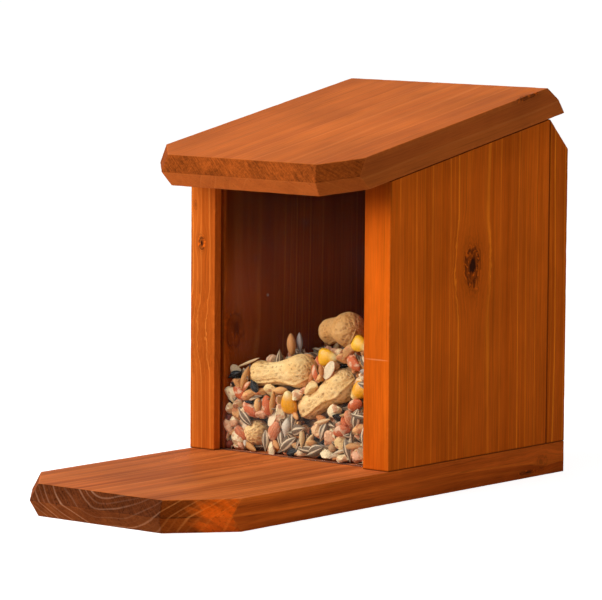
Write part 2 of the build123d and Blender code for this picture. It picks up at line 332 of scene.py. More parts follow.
def wood(name, axes, pith, ring, tone, knots=(), shift=0.0, wander=4.0, lines=1.0, end_lines=0.5,
         under_end=1.0, lit_patch=None, clearest=None, dashes=0.74, joints=(), saw_marks=0.24, side_shade=None,
         scratches=(), roof_shade=None, fibres=0.13):
    """Stained softwood: thin light lines on a darker ground.

    The axes run across, through and along the grain. The pith is a place across and through it.
    """
    g = new_graph(name)
    spot = g.place()
    across, through, along = (spot.dot(axis) for axis in axes)
    grain = g.combine(across, through, along)
    normal = g.node("TexCoord", output="Normal")
    end = g.remap(abs(normal.dot(axes[2])), 0.35, 0.65)
    # Faces turned down show less of the end grain's dark colour: painted light on the lower end facets
    end = end * g.remap(normal.dot(axes[1]), -0.35, 0.1, under_end, 1.0)
    # A ragged patch of painted light on an end, in a long grain colour
    if lit_patch:
        lit_centre, lit_reach, lit_colour = lit_patch
        lit_share = painted_light_patch(g, spot, end, lit_centre, lit_reach)
        end = end - lit_share

    # Growth rings round the pith, each with a line of latewood and a fainter second line
    flow, eyes = knot_flow(g, spot, grain, knots)
    moved = flow + stepped(NOISE_STEP, shift)
    slow = g.noise_vector(moved * SLOW_GRAIN, (wander, wander, 0.0), 1.0)
    quick = g.noise_vector(moved * QUICK_GRAIN, (0.6, 0.6, 0.0))
    warped = flow + slow + quick
    from_pith = (warped - (*pith, 0.0)) * (1.0, 1.0, 0.0)
    turns = from_pith.length() / ring + g.noise(from_pith * RING_DRIFT, detail=1.0) * 2.5
    ring_number = turns.apply("FLOOR")
    phase = turns.apply("FRACT")
    ring_mood = g.random(ring_number + shift)
    late = g.band(phase, 0.76, 0.88, 0.92, 0.99) * g.remap(ring_mood, 0.0, 1.0, 0.3 * lines, lines)
    second = g.fall(abs(phase - 0.36), 0.02, 0.1, 0.34 * lines) * g.random(ring_number + (shift + 0.5))
    late = late.most(second) * g.remap(g.noise(moved * FAINT_GRAIN), 0.3, 0.6, 0.45, 1.0)
    if clearest is not None:
        late = late * g.remap(abs(across - clearest), 15.0, 50.0, 1.0, 0.5)

    # Fibres, wide streaks, blotches of stain and the saw's marks
    fibre_spot = warped + stepped(FIBRE_STEP, shift)
    fibre = g.noise(fibre_spot * FIBRE_GRAIN, detail=4.0, rough=0.62)
    thread = g.noise(fibre_spot * THREAD_GRAIN)
    streak = g.noise(fibre_spot * STREAK_GRAIN, detail=3.0)
    blotch = g.noise(moved * BLOTCH_GRAIN, detail=3.0)
    dash = g.noise(fibre_spot * DASH_GRAIN, detail=3.0, rough=0.6)
    fuzz = g.noise(spot * SAW_FUZZ, detail=5.0, rough=0.7)
    hatch_spot = g.combine(across + through * 1.3, (across - through) * 0.12, 0.0)
    saw = fuzz * 0.45 + g.noise(hatch_spot, detail=3.0, rough=0.6) * 0.55

    # Long grain, and end grain that soaks up more stain
    dark, light, line, soaked, pale = (linear(*c) for c in tone)
    ground = g.mix(g.remap(streak + ring_mood * 0.2, 0.3, 0.9), dark, light)
    # The patch of painted light takes its own colour
    if lit_patch:
        ground = g.mix(lit_share, ground, lit_colour)
    uneven_stain = g.remap(g.noise(spot, 0.07), 0.35, 0.65, -0.12, 0.16)
    end_shade = g.remap(saw, 0.35, 0.65, 1 - saw_marks, 1 + saw_marks) + uneven_stain
    end_grain = g.mix(late * end_lines, end_shade * soaked[:3], pale)
    colour = g.mix(end, g.mix(late, ground, line), end_grain)
    shade = g.remap(fibre, 0.25, 0.75, -fibres, fibres) + g.remap(thread, 0.3, 0.7, -0.06, 0.06)
    colour = colour * (shade + g.remap(blotch, 0.25, 0.75, 0.85, 1.13))
    colour = colour * g.remap(dash, 0.56, 0.76, 1.0, dashes)

    # The board's sides get another tone than its faces: painted shade and light for how the light falls on
    # them
    if side_shade:
        colour = g.mix(g.remap(abs(normal.dot(axes[0])), 0.3, 0.7), colour, colour * side_shade)
    colour = paint_knots(g, spot, colour, eyes)

    # Worn edges are paler, and joints between boards are dark
    worn = g.attribute("edge") * g.remap(g.noise(spot, 0.35, 3.0), 0.5, 0.7, 0.0, 0.25) * (1.0 - end)
    for axis, value in joints:
        away = abs(spot.dot(axis) - value)
        colour = colour * g.remap(away, 0.2, 0.9, 0.4, 1.0)
        worn = worn * g.remap(away, 0.5, 1.5)
    colour = g.mix(worn, colour, WORN_COLOUR)
    # Painted shade where the roof's shadow falls
    if roof_shade:
        colour = colour * (1.0 - painted_roof_shade(g, spot, *roof_shade))
    for centre, radii in scratches:
        away = ((spot - centre) / radii).length()
        colour = g.mix(g.fall(away, 0.6, 1.0, 0.32), colour, SCRATCH_COLOUR)

    height = late * 0.5 + fibre * 0.7 + saw * end * 1.6
    rough = g.remap(fibre, 0.2, 0.8, 0.46, 0.6) + end * 0.16
    return g.surface(colour, rough, g.bump(height, 0.12, 0.55), gloss=WOOD_GLOSS)


LYING_AXES = (X_AXIS, Z_AXIS, Y_AXIS)
PANEL_AXES = (Y_AXIS, X_AXIS, Z_AXIS)
BACK_AXES = (X_AXIS, Y_AXIS, Z_AXIS)
ROOF_AXES = (X_AXIS, ROOF_NORMAL, SLOPE)

# Each board's tone is partly its own and partly painted light and shade, set for how that board is lit
# Ground dark, ground light, latewood line, soaked end grain and its lines, as screen values
BASE_TONE = ((154, 74, 30), (208, 112, 53), (220, 128, 58), (84, 39, 16), (196, 142, 108))
LEFT_TONE = ((166, 75, 18), (190, 92, 27), (216, 120, 44), (140, 62, 16), (190, 104, 44))
RIGHT_TONE = ((199, 87, 12), (217, 100, 20), (252, 134, 28), (150, 66, 12), (190, 104, 44))
ROOF_TONE = ((189, 95, 40), (204, 107, 45), (218, 126, 62), (136, 63, 19), (190, 104, 44))

# Planes where boards meet: dirt and shadow in the joint
PANEL_JOINTS = ((Y_AXIS, Y_HOPPER_BACK), (Z_AXIS, BOARD))

# Knots: centre and radii across, through and along the grain, push on the grain, and darkness.
# A knot with the radius THROUGH shows on both faces of its board.
THROUGH = 400.0
base_wood = wood(
    "base_wood", LYING_AXES, (8.0, 52.0), 4.4, BASE_TONE, shift=1.0, wander=5.0, lines=0.6, end_lines=0.72,
    # Painted shade and light on its sides, and painted light on its lower end facets
    under_end=0.78, dashes=0.55, saw_marks=0.34, side_shade=(1.12, 0.85, 0.4),
    # Painted light on the right clip of the nose
    lit_patch=((57.0, -116.0, 7.0), 10.5, (206, 92, 24)),
    knots=(
        ((60.0, 6.8, 119.0), (9.0, 3.0, 4.5), 0.6, 0.3),
        ((60.0, 2.7, 108.0), (7.0, 0.9, 7.0), 0.3, 0.85),
        ((-28.0, 15.0, -12.0), (9.0, 12.0, 15.0), 0.5, 0.1),
    ))
left_wood = wood(
    "left_panel_wood", PANEL_AXES, (20.0, -10.0), 4.2, LEFT_TONE, shift=2.0, joints=PANEL_JOINTS,
    # Painted shade under the roof
    roof_shade=(0.28, 12.0, 0.15),
    knots=(
        ((14.2, -45.0, 71.5), (7.0, THROUGH, 8.5), 0.6, 0.55),
        ((-1.5, -53.3, 113.6), (7.0, 1.7, 3.2), 0.7, 1.0),
        ((-1.5, -57.2, 131.5), (3.0, 1.2, 2.4), 0.4, 0.35),
    ))
right_wood = wood(
    "right_panel_wood", PANEL_AXES, (64.0, 30.0), 4.8, RIGHT_TONE, shift=3.0, wander=2.0, clearest=70.0,
    # Painted shade under the roof, and a scratch on the front edge
    joints=PANEL_JOINTS, roof_shade=(0.62, 23.0, 0.2), scratches=[((52.5, Y_FRONT, 66.5), (8.5, 1.5, 0.4))],
    knots=(((61.4, 60.0, 105.3), (5.4, THROUGH, 8.8), 0.75, 1.0),))
back_wood = wood(
    "back_board_wood", BACK_AXES, (15.0, 165.0), 4.8, RIGHT_TONE, shift=4.0, joints=PANEL_JOINTS,
    # Painted shade under the roof
    roof_shade=(0.0, 1.0, 0.1), knots=(((-22.0, 137.0, 84.0), (5.0, THROUGH, 8.0), 0.8, 0.9),))
roof_wood = wood(
    "roof_wood", ROOF_AXES, (18.0, 128.0), 3.6, ROOF_TONE, shift=5.0, wander=3.0, lines=0.45, end_lines=0.12,
    # Painted shade and light on its sides, and painted light on its lower end facets
    under_end=0.35, fibres=0.08, saw_marks=0.42, side_shade=(0.78, 0.74, 0.64),
    knots=(((59.6, 161.6, 136.0), (1.5, 1.5, 7.0), 0.2, 0.9),))


# Meshes

def add_object(name, data):
    made = bpy.data.objects.new(name, data)
    bpy.context.scene.collection.objects.link(made)
    return made


def paint(piece, material):
    piece.data.materials.clear()
    piece.data.materials.append(material)


def new_piece(name, mesh, material, body, nodes=()):
    """Put a finished mesh into the scene, riding on a body and standing for CAD nodes."""
    piece = add_object(name, mesh)
    paint(piece, material)
    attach(piece, body)
    if nodes:
        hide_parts(*nodes)
    return piece


def add_attribute(mesh, name, values, kind="FLOAT"):
    field = "value" if kind == "FLOAT" else "vector"
    data = mesh.attributes.new(name, kind, "POINT").data
    data.foreach_set(field, np.asarray(values, np.float32).ravel())


def read_vectors(items, field):
    values = np.zeros(len(items) * 3)
    items.foreach_get(field, values)
    return values.reshape(-1, 3)


def placed(points, place):
    return points @ np.array(place.to_3x3()).T + np.array(place.translation)


def prism(loops):
    """A closed bmesh from outlines with equally many corners, joined in order and capped."""
    bm = bmesh.new()
    rings = [[bm.verts.new(point) for point in loop] for loop in loops]
    count = len(rings[0])
    for lower, upper in zip(rings, rings[1:]):
        for i in range(count):
            j = (i + 1) % count
            bm.faces.new((lower[i], lower[j], upper[j], upper[i]))
    bm.faces.new(rings[0][::-1])
    bm.faces.new(rings[-1])
    bmesh.ops.recalc_face_normals(bm, faces=bm.faces[:])
    return bm


def drilled(bm, cutters):
    """Cut holes into the bmesh where the cutters are."""
    solid = bpy.data.meshes.new("solid")
    bm.to_mesh(solid)
    tools = bmesh.new()
    for cutter in cutters:
        part = bpy.data.meshes.new("cutter")
        cutter.to_mesh(part)
        tools.from_mesh(part)
        bpy.data.meshes.remove(part)
    tool_mesh = bpy.data.meshes.new("tools")
    tools.to_mesh(tool_mesh)
    body = add_object("solid", solid)
    tool = add_object("tools", tool_mesh)
    cut = body.modifiers.new("cut", "BOOLEAN")
    cut.operation, cut.solver, cut.object = "DIFFERENCE", "EXACT", tool
    evaluated = body.evaluated_get(bpy.context.evaluated_depsgraph_get())
    result = bpy.data.meshes.new_from_object(evaluated)
    bm.clear()
    bm.from_mesh(result)
    for item in (body, tool):
        bpy.data.objects.remove(item)
    for mesh in (solid, tool_mesh, result):
        bpy.data.meshes.remove(mesh)


def round_cutter(profile, place, around=28):
    """A turned cutter: radii and heights along its axis, put at a place."""
    turn = [2 * math.pi * i / around for i in range(around)]
    return prism([[place @ Vector((r * math.cos(a), r * math.sin(a), z)) for a in turn] for r, z in profile])


def split(polygon, axis, value):
    """The parts of a convex polygon below and above a plane across one axis."""
    below, above = [], []
    last = polygon[-1]
    for point in polygon:
        here, before = point[axis] - value, last[axis] - value
        if here * before < 0:
            share = before / (before - here)
            crossing = [p + (q - p) * share for p, q in zip(last, point)]
            crossing[axis] = value
            below.append(crossing)
            above.append(crossing)
        if here <= 0:
            below.append(point)
        if here >= 0:
            above.append(point)
        last = point
    return below, above


def sliced(polygons, axis, planes):
    """Cut convex polygons along planes across one axis, but leave no thin slivers."""
    result = []
    for polygon in polygons:
        values = [point[axis] for point in polygon]
        high = max(values) - THINNEST_SLICE
        index = bisect_left(planes, min(values) + THINNEST_SLICE)
        while index < len(planes) and planes[index] < high:
            below, polygon = split(polygon, axis, planes[index])
            result.append(below)
            index += 1
        result.append(polygon)
    return result


def edge_distance(points, segments):
    """Distance of each point to the nearest of some line segments."""
    best = np.full(len(points), 1e9)
    for a, b in segments:
        run = b - a
        share = np.clip((points - a) @ run / (run @ run), 0.0, 1.0)
        best = np.minimum(best, np.linalg.norm(points - a - share[:, None] * run, axis=1))
    return best


# Edges of the boards: rounding, and how far wear reaches from them
EDGE_ROUND, EDGE_REACH = 0.4, 1.4
SHARP_ANGLE = math.radians(8)
THINNEST_SLICE = 0.02
MERGE_DISTANCE, SHORTEST_EDGE = 0.004, 0.002

# Depths of the waves on a board's faces, of the chips at its edges and of the saw's marks at its ends
WAVE_DEPTH, CHIP_DEPTH, END_DEPTH = 0.03, 0.12, 0.1

# How fast those noises change, and the step in them from one board to the next
WAVE_ACROSS, WAVE_ALONG, CHIP_SCALE, SAW_SCALE = 0.16, 0.03, 0.22, 0.9
BOARD_STEP = (19.0, 7.0, 3.0)


def board_mesh(name, bm, cells, grain_axis, cutters=(), to_frame=None, dents=(), shift=0.0):
    """A board with rounded edges, cut into small cells, worn at its edges and rough at its ends."""
    sharp = [e for e in bm.edges if e.calc_face_angle(0.0) > SHARP_ANGLE]
    segments = [tuple(np.array(v.co) for v in e.verts) for e in sharp]
    bmesh.ops.bevel(
        bm, geom=sharp, offset=EDGE_ROUND, segments=2, profile=0.6, affect="EDGES", clamp_overlap=True)
    if cutters:
        drilled(bm, cutters)
    bmesh.ops.triangulate(bm, faces=[f for f in bm.faces if len(f.verts) > 4])
    polygons = [[list(v.co) for v in f.verts] for f in bm.faces]
    bm.free()
    corners = np.array([p for polygon in polygons for p in polygon])
    for axis in range(3):
        low, high = corners[:, axis].min(), corners[:, axis].max()
        count = max(2, round((high - low) / cells[axis]))
        polygons = sliced(polygons, axis, np.linspace(low, high, count + 1)[1:-1].tolist())

    points = [p for polygon in polygons for p in polygon]
    starts = np.cumsum([0] + [len(p) for p in polygons]).tolist()
    mesh = bpy.data.meshes.new(name)
    mesh.from_pydata(points, [], [range(a, b) for a, b in zip(starts, starts[1:])])
    bm = bmesh.new()
    bm.from_mesh(mesh)
    bmesh.ops.remove_doubles(bm, verts=bm.verts[:], dist=MERGE_DISTANCE)
    bmesh.ops.dissolve_degenerate(bm, edges=bm.edges[:], dist=SHORTEST_EDGE)
    bmesh.ops.recalc_face_normals(bm, faces=bm.faces[:])
    bm.to_mesh(mesh)
    bm.free()

    place = read_vectors(mesh.vertices, "co")
    normals = read_vectors(mesh.vertex_normals, "vector")
    edge = np.exp(-((edge_distance(place, segments) / EDGE_REACH) ** 2))
    end = np.clip((np.abs(normals[:, grain_axis]) - 0.5) / 0.4, 0, 1)
    stretch = np.full(3, WAVE_ACROSS)
    stretch[grain_axis] = WAVE_ALONG
    start = Vector(stepped(BOARD_STEP, shift))
    wave = np.array([noise.noise(Vector(p * stretch) + start) for p in place])
    chips = np.array([noise.fractal(Vector(p * CHIP_SCALE) + start, 1.0, 2.0, 3) for p in place])
    fuzz = np.array([noise.noise(Vector(p * SAW_SCALE) + start) for p in place])
    inward = WAVE_DEPTH * (1 + wave) + edge * np.clip(chips, 0, 1) * CHIP_DEPTH
    inward = inward + end * (1 - edge) * (1 + fuzz) * END_DEPTH
    for centre, reach, depth in dents:
        inward += depth * np.exp(-(np.linalg.norm((place - centre) / reach, axis=1) ** 2))
    place = place - normals * inward[:, None]
    if to_frame is not None:
        place = placed(place, to_frame)
    mesh.vertices.foreach_set("co", (place * MM).ravel())
    add_attribute(mesh, "edge", edge)
    mesh.shade_smooth()
    mesh.update()
    return mesh


def add_board(name, mesh, material, body):
    piece = new_piece(name + "_wood", mesh, material, body, [name])
    weight = piece.modifiers.new("flat faces stay flat", "WEIGHTED_NORMAL")
    weight.mode, weight.weight, weight.keep_sharp = "FACE_AREA_WITH_ANGLE", 60, False


def nosed_outline(front, back, clip, set_back):
    """Corners of a board whose front corners are clipped, with its front edges set back."""
    clip_across, clip_along = clip
    slant = math.hypot(clip_across, clip_along)
    x_clip = HALF_WIDTH - clip_across - set_back * (slant - clip_across) / clip_along
    y_clip = front + clip_along + set_back * slant / clip_across
    right = [(x_clip, front + set_back), (HALF_WIDTH, y_clip), (HALF_WIDTH, back)]
    return [(-x, y) for x, y in reversed(right)] + right


def nosed_loops(front, clip, backs):
    """Outlines of a nosed board at its bottom, at half its thickness and at its top."""
    levels = zip((0, BOARD / 2, BOARD), (NOSE_SET_BACK, 0, NOSE_SET_BACK), backs)
    return [
        [(x, y, z) for x, y in nosed_outline(front, back, clip, set_back)] for z, set_back, back in levels
    ]


def countersink(place):
    """Cutter for a countersunk screw whose head is flush at a place."""
    rim = SCREW_HEAD_RADIUS + SCREW_GAP
    shank = SCREW_RADIUS + SCREW_GAP
    head = [(rim + CUTTER_RISE, CUTTER_RISE), (rim, 0.0), (shank, shank - rim)]
    return round_cutter([*head, (shank, -SCREW_LENGTH)], place)


def wall_hole(place):
    """Cutter for a hole right through the back board."""
    rim = (WALL_HOLE_RADIUS + CUTTER_RISE, CUTTER_RISE)
    return round_cutter([rim, (WALL_HOLE_RADIUS, 0.0), (WALL_HOLE_RADIUS, -2 * BOARD)], place)


def from_below(x, y):
    return Matrix.Translation((x, y, 0)) @ Matrix.Rotation(math.pi, 4, "X")


def from_behind(x, z):
    return Matrix.Translation((x, Y_BACK, z)) @ Matrix.Rotation(-math.pi / 2, 4, "X")


panel_screw_places = [from_below(x, y) for x, y in PANEL_SCREWS]
base_back_screw_places = [from_below(x, y) for x, y in BASE_BACK_SCREWS]
back_screw_places = [from_behind(x, z) for x, z in BACK_SCREWS]
wall_hole_places = [from_behind(side * WALL_HOLE_SPACING / 2, WALL_HOLE_HEIGHT) for side in (-1, 1)]

# Base board. Dents, here and below, have a centre, a reach and a depth
base_mesh = board_mesh(
    "base_board_wood", prism(nosed_loops(Y_NOSE, BASE_CLIP, [Y_BACK] * 3)), (1.9, 2.8, 1.5), 1, shift=1.0,
    cutters=[countersink(p) for p in panel_screw_places + base_back_screw_places],
    dents=[((60.0, 108.0, 2.7), (2.0, 6.0, 0.9), 0.5)])
add_board("base_board", base_mesh, base_wood, "box")

# Side panels
for side, direction, material, dents in (
    ("left", -1, left_wood, [((-57.2, Y_FRONT, 131.5), (1.2, 2.0, 2.2), 0.4)]),
    ("right", 1, right_wood, [((60.0, 61.4, 105.3), (2.0, 2.5, 3.0), 0.25),
                              ((52.5, Y_FRONT, 66.5), (8.0, 2.0, 0.5), 0.25)]),
):
    outer, inner = direction * HALF_WIDTH, direction * INNER_HALF
    groove = inner + direction * GROOVE_DEPTH
    groove_low, groove_high = window_low[1] - GROOVE_GAP, window_high[1] + GROOVE_GAP
    section = [(outer, Y_FRONT), (outer, Y_HOPPER_BACK), (inner, Y_HOPPER_BACK), (inner, groove_high),
               (groove, groove_high), (groove, groove_low), (inner, groove_low), (inner, Y_FRONT)]
    panel_loops = [
        [(x, y, BOARD) for x, y in section],
        [(x, y, Z_FRONT + (y - Y_FRONT) * math.tan(ROOF_PITCH)) for x, y in section],
    ]
    panel_mesh = board_mesh(
        f"{side}_panel_wood", prism(panel_loops), (1.5, 2.0, 2.8), 2, shift=3.0 + direction, dents=dents)
    add_board(f"{side}_side_panel", panel_mesh, material, "box")

# Back board
back_section = [(Y_HOPPER_BACK, BOARD), (Y_BACK, BOARD), (Y_BACK, Z_BEVEL_FOOT), (Y_HOPPER_BACK, Z_APEX)]
back_loops = [[(x, y, z) for y, z in back_section] for x in (-HALF_WIDTH, HALF_WIDTH)]
back_cutters = [wall_hole(p) for p in wall_hole_places] + [countersink(p) for p in back_screw_places]
back_mesh = board_mesh("back_board_wood", prism(back_loops), (2.0, 1.5, 2.8), 2, back_cutters, shift=5.0)
add_board("back_board", back_mesh, back_wood, "box")

# Roof, made flat and then laid on its slope
roof_back = (Y_HOPPER_BACK - Y_FRONT) / math.cos(ROOF_PITCH) + ROOF_BACK_OVERHANG
roof_backs = (roof_back, roof_back - ROOF_BACK_BEVELS[0], roof_back - sum(ROOF_BACK_BEVELS))
roof_place = Matrix.Translation((0, Y_FRONT, Z_FRONT)) @ Matrix.Rotation(ROOF_PITCH, 4, "X")
roof_place = roof_place @ Matrix.Translation((0, 0, LID_SEAT_GAP))
roof_mesh = board_mesh(
    "roof_lid_wood", prism(nosed_loops(-ROOF_FRONT_OVERHANG, ROOF_CLIP, roof_backs)), (1.9, 2.6, 1.5), 1,
    to_frame=roof_place, shift=6.0, dents=[((56.0, 118.0, BOARD), (3.0, 5.0, 2.0), 0.4)])
add_board("roof_lid", roof_mesh, roof_wood, "lid")


# Window

# Smears and specks on the pane's front face: place across and up, reach and strength
Y_GLASS = 3.5
WINDOW_SPOTS = (
    (5.6, 126.9, 3.0, 0.014),
    (-24.6, 108.0, 2.4, 0.012),
    (-16.5, 91.0, 0.9, 0.16),
    (-1.4, 101.5, 0.9, 0.07),
)

# The pane mirrors less than plain acrylic would, because the photo shows next to no reflection
PANE_MIRROR_IOR = 1.06
PANE_TINT = (0.97, 0.98, 0.975, 1.0)
DUST_COLOUR = (0.75, 0.74, 0.72, 1.0)
# The sawn edge is painted dark at its foot as painted shadow, and pale higher up
FOOT_SHADOW, SAWN_EDGE = (0.14, 0.085, 0.055, 1.0), (0.8, 0.85, 0.85, 1.0)


def window_material():
    """Clear acrylic: sees through, mirrors at a slant, with faint dust, smears, a painted highlight along
    the foot of its broad faces and a sawn edge with painted shadow at its foot.
    """
    g = new_graph("clear_acrylic")
    spot = g.place()
    face = g.remap(abs(g.node("TexCoord", output="Normal").dot(Y_AXIS)), 0.5, 0.9)
    smear = g.noise(spot * (0.03, 0.03, 0.05), detail=4.0, rough=0.6)
    dust = g.noise(spot, 1.3, 3.0, 0.7)
    height = spot.dot(Z_AXIS)
    # Smears, a faint pale band across the pane's lower part, and dust
    dust_and_highlight = g.remap(smear, 0.5, 0.8, 0.0, 0.005) + g.band(height, 14.0, 24.0, 30.0, 44.0, 0.012)
    dust_and_highlight = dust_and_highlight + g.remap(dust, 0.7, 0.8, 0.0, 0.03)
    for x, z, size, amount in WINDOW_SPOTS:
        away = (spot - (x, Y_GLASS, z)).length()
        dust_and_highlight = dust_and_highlight + g.fall(away, 0.3 * size, size, amount)
    # A painted highlight along the foot of the broad faces
    dust_and_highlight = dust_and_highlight + g.fall(height, BOARD + 0.25, BOARD + 0.5, 0.06)
    clear = g.node("BsdfTransparent", {"Color": PANE_TINT})
    mirror = g.node("BsdfGlossy", {"Color": WHITE, "Roughness": 0.03})
    glass = g.blend(g.node("Fresnel", {"IOR": PANE_MIRROR_IOR}), clear, mirror)
    glass = g.blend(dust_and_highlight, glass, g.node("BsdfDiffuse", {"Color": DUST_COLOUR}))
    # Painted shadow at the foot of the sawn edge
    edge_and_foot_shadow = g.mix(g.remap(height, BOARD + 0.6, BOARD + 1.2), FOOT_SHADOW, SAWN_EDGE)
    sawn = g.blend(0.35, g.node("BsdfTranslucent", {"Color": edge_and_foot_shadow}), clear)
    return g.finish(g.blend(face, sawn, glass))


def dress(name, material, width):
    """Give a CAD node its material and round its edges a little, with its mesh left as it is."""
    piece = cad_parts[name]
    paint(piece, material)
    weld = piece.modifiers.new("join", "WELD")
    weld.merge_threshold = 0.002 * MM
    bevel = piece.modifiers.new("round", "BEVEL")
    bevel.width, bevel.segments, bevel.limit_method = width * MM, 2, "ANGLE"
    bevel.angle_limit = math.radians(40)


dress("front_window", window_material(), 0.25)


# Hinges and screws

def zinc(name, tint, scale):
    """Zinc plate: dull metal with spangle, fine scratches and a few dark spots."""
    g = new_graph(name)
    spot = g.place()
    patch = g.node("TexVoronoi", {"Vector": spot, "Scale": scale}, output="Color").dot((0.33, 0.33, 0.33))
    scratch = g.noise(spot * (0.6, 9.0, 9.0), detail=3.0)
    spots = g.noise(spot, 0.9, 4.0, 0.7)
    colour = g.remap(patch, 0.2, 0.8, 0.82, 1.05) * linear(*tint)[:3]
    colour = g.mix(g.remap(spots, 0.58, 0.75, 0.0, 0.6), colour, (96, 84, 66))
    rough = g.remap(scratch, 0.3, 0.7, 0.24, 0.42) + g.remap(spots, 0.5, 0.8, 0.0, 0.25)
    return g.surface(colour, rough, g.bump(scratch, 0.02, 0.5), metal=1.0)


hinge_zinc = zinc("hinge_zinc", (190, 190, 186), 0.8)
screw_zinc = zinc("screw_zinc", (206, 196, 160), 1.2)
for side in ("left", "right"):
    for name in (f"hinge_leaf_back_{side}", f"hinge_leaf_lid_{side}", f"hinge_pin_{side}"):
        dress(name, hinge_zinc, 0.12)


def smooth_step(value, low, high):
    share = np.clip((value - low) / (high - low), 0.0, 1.0)
    return share * share * (3 - 2 * share)


def grid_faces(rows, columns):
    """Faces of a tube of rows by columns points with one point more at each end."""
    faces = [(0, 1 + (j + 1) % columns, 1 + j) for j in range(columns)]
    for i in range(rows - 1):
        a = 1 + i * columns
        for j in range(columns):
            k = (j + 1) % columns
            faces.append((a + j, a + k, a + columns + k, a + columns + j))
    last = 1 + rows * columns
    a = last - columns
    return faces + [(a + j, a + (j + 1) % columns, last) for j in range(columns)]


def screw_form(head, shank, length, point, pitch, columns=36):
    """A countersunk cross-head screw with its thread, its rim at the origin and its point down."""
    angle = 2 * np.pi * np.arange(columns) / columns
    neck = -(head - shank)

    def ring(r, z):
        return np.stack([r * np.cos(angle), r * np.sin(angle), z + np.zeros(columns)], 1)

    rows = []
    for r in head * np.linspace(0.06, 0.96, 11):
        x, y = r * np.cos(angle), r * np.sin(angle)
        narrow_x, narrow_y = (smooth_step(np.abs(a), 0.17 * head, 0.09 * head) for a in (x, y))
        short_x, short_y = (smooth_step(np.abs(a), 0.62 * head, 0.42 * head) for a in (x, y))
        cross = np.maximum(narrow_x * short_y, narrow_y * short_x)
        sink = cross * 0.5 * head * (1 - 0.6 * r / head)
        rows.append(ring(r, -0.02 * head - sink))
    rows += [ring(head, -0.06 * head), ring(shank * 1.02, neck)]
    for z in np.linspace(neck - 0.3, -length + 0.1, int((length - head) / pitch * 6)):
        taper = np.clip((length + z) / point, 0.06, 1.0)
        tooth = np.abs(((z / pitch + angle / (2 * np.pi)) % 1.0) * 2 - 1)
        rows.append(ring(shank * taper * (0.72 + 0.28 * tooth**3), z))
    middle = rows[0][:, 2].mean()
    return np.concatenate([[[0, 0, middle]], *rows, [[0, 0, -length]]]), grid_faces(len(rows), columns)


def joined_mesh(name, forms):
    """One mesh from several lots of points and faces."""
    starts = np.cumsum([0] + [len(points) for points, _ in forms])
    mesh = bpy.data.meshes.new(name)
    points = np.concatenate([points for points, _ in forms]) * MM
    faces = [[i + int(start) for i in face] for (_, faces), start in zip(forms, starts) for face in faces]
    mesh.from_pydata(points.tolist(), [], faces)
    mesh.shade_smooth()
    mesh.update()
    return mesh


screw_points, screw_faces = screw_form(
    SCREW_HEAD_RADIUS, SCREW_RADIUS, SCREW_LENGTH, SCREW_POINT, SCREW_PITCH)
for name, places in (
    ("panel_screws", panel_screw_places),
    ("base_back_screws", base_back_screw_places),
    ("back_board_screws", back_screw_places),
):
    mesh = joined_mesh(name + "_cross", [(placed(screw_points, place), screw_faces) for place in places])
    new_piece(name + "_cross", mesh, screw_zinc, "box", [name])
for name in ("hinge_screws_back", "hinge_screws_lid"):
    dress(name, screw_zinc, 0.08)


# Peanuts in their shells

PEANUT_LENGTH, LARGE_LOBE, SMALL_LOBE, WAIST_ROUND = 37.0, 8.4, 6.4, 35.0
PEANUT_GAP = 0.5
HEAP_FRONT, HEAP_BACK = (37.0, 57.0), (48.0, 70.0)
NET_CELL, NET_DEPTH, NET_STRETCH = 2.1, 0.3, 0.62
VEIN_COUNT, VEIN_DEPTH = 9, 0.14
DENT_DEPTH = 0.15
SEAM_RIDGE, SEAM_WIDTH = 0.45, 0.1
BOW_REACH = 7.0

# Middles of the two lobes along the shell, and of the round waist that touches both
X_LARGE, X_SMALL = PEANUT_LENGTH / 2 - LARGE_LOBE, SMALL_LOBE - PEANUT_LENGTH / 2
TO_LARGE, TO_SMALL = LARGE_LOBE + WAIST_ROUND, SMALL_LOBE + WAIST_ROUND
X_WAIST = (TO_SMALL**2 - TO_LARGE**2 + X_LARGE**2 - X_SMALL**2) / (2 * (X_LARGE - X_SMALL))
Z_WAIST = math.sqrt(TO_LARGE**2 - (X_WAIST - X_LARGE) ** 2)


def heap_height(x, y):
    """Height of the feed's top in the hopper, as in the CAD model."""
    across = (x + INNER_HALF) / (2 * INNER_HALF)
    along = (y - Y_PANE) / (Y_HOPPER_BACK - Y_PANE)
    front = HEAP_FRONT[0] + (HEAP_FRONT[1] - HEAP_FRONT[0]) * across
    back = HEAP_BACK[0] + (HEAP_BACK[1] - HEAP_BACK[0]) * across
    return BOARD + front + (back - front) * along


def peanut_place(x, y, z, tilt, turn):
    turned = Matrix.Rotation(math.radians(tilt), 4, "Y") @ Matrix.Rotation(math.radians(turn), 4, "Z")
    return Matrix.Translation((x, y, z)) @ turned


# Each peanut's place, the angle of its seam, how far its waist bows towards the seam, and how much painted
# shade it gets: a shaded shell is painted darker and browner, for a peanut that lies in shade.
level_y, high_y = Y_PANE + 10.0, Y_PANE + 20.6
level_z, high_z = heap_height(-16.7, level_y) - 5.9, heap_height(9.5, high_y) + 8.1
low_y, end_on_y = Y_PANE + LARGE_LOBE + PEANUT_GAP, Y_PANE + PEANUT_LENGTH / 2 + PEANUT_GAP
PEANUTS = {
    "peanut_low_right": (peanut_place(11.5, low_y, BOARD + 30.0, -31, 0), 3.7, 0.9, 0.0),
    "peanut_end_on": (peanut_place(-30.0, end_on_y, BOARD + 9.0, 0, 90), 3.9, 0.9, 0.0),
    "peanut_across": (peanut_place(-16.7, level_y, level_z, -6, 5), 3.8, 0.9, 0.0),
    "peanut_high_right": (peanut_place(9.5, high_y, high_z, -10, -29), 4.4, -1.0, 1.0),
}


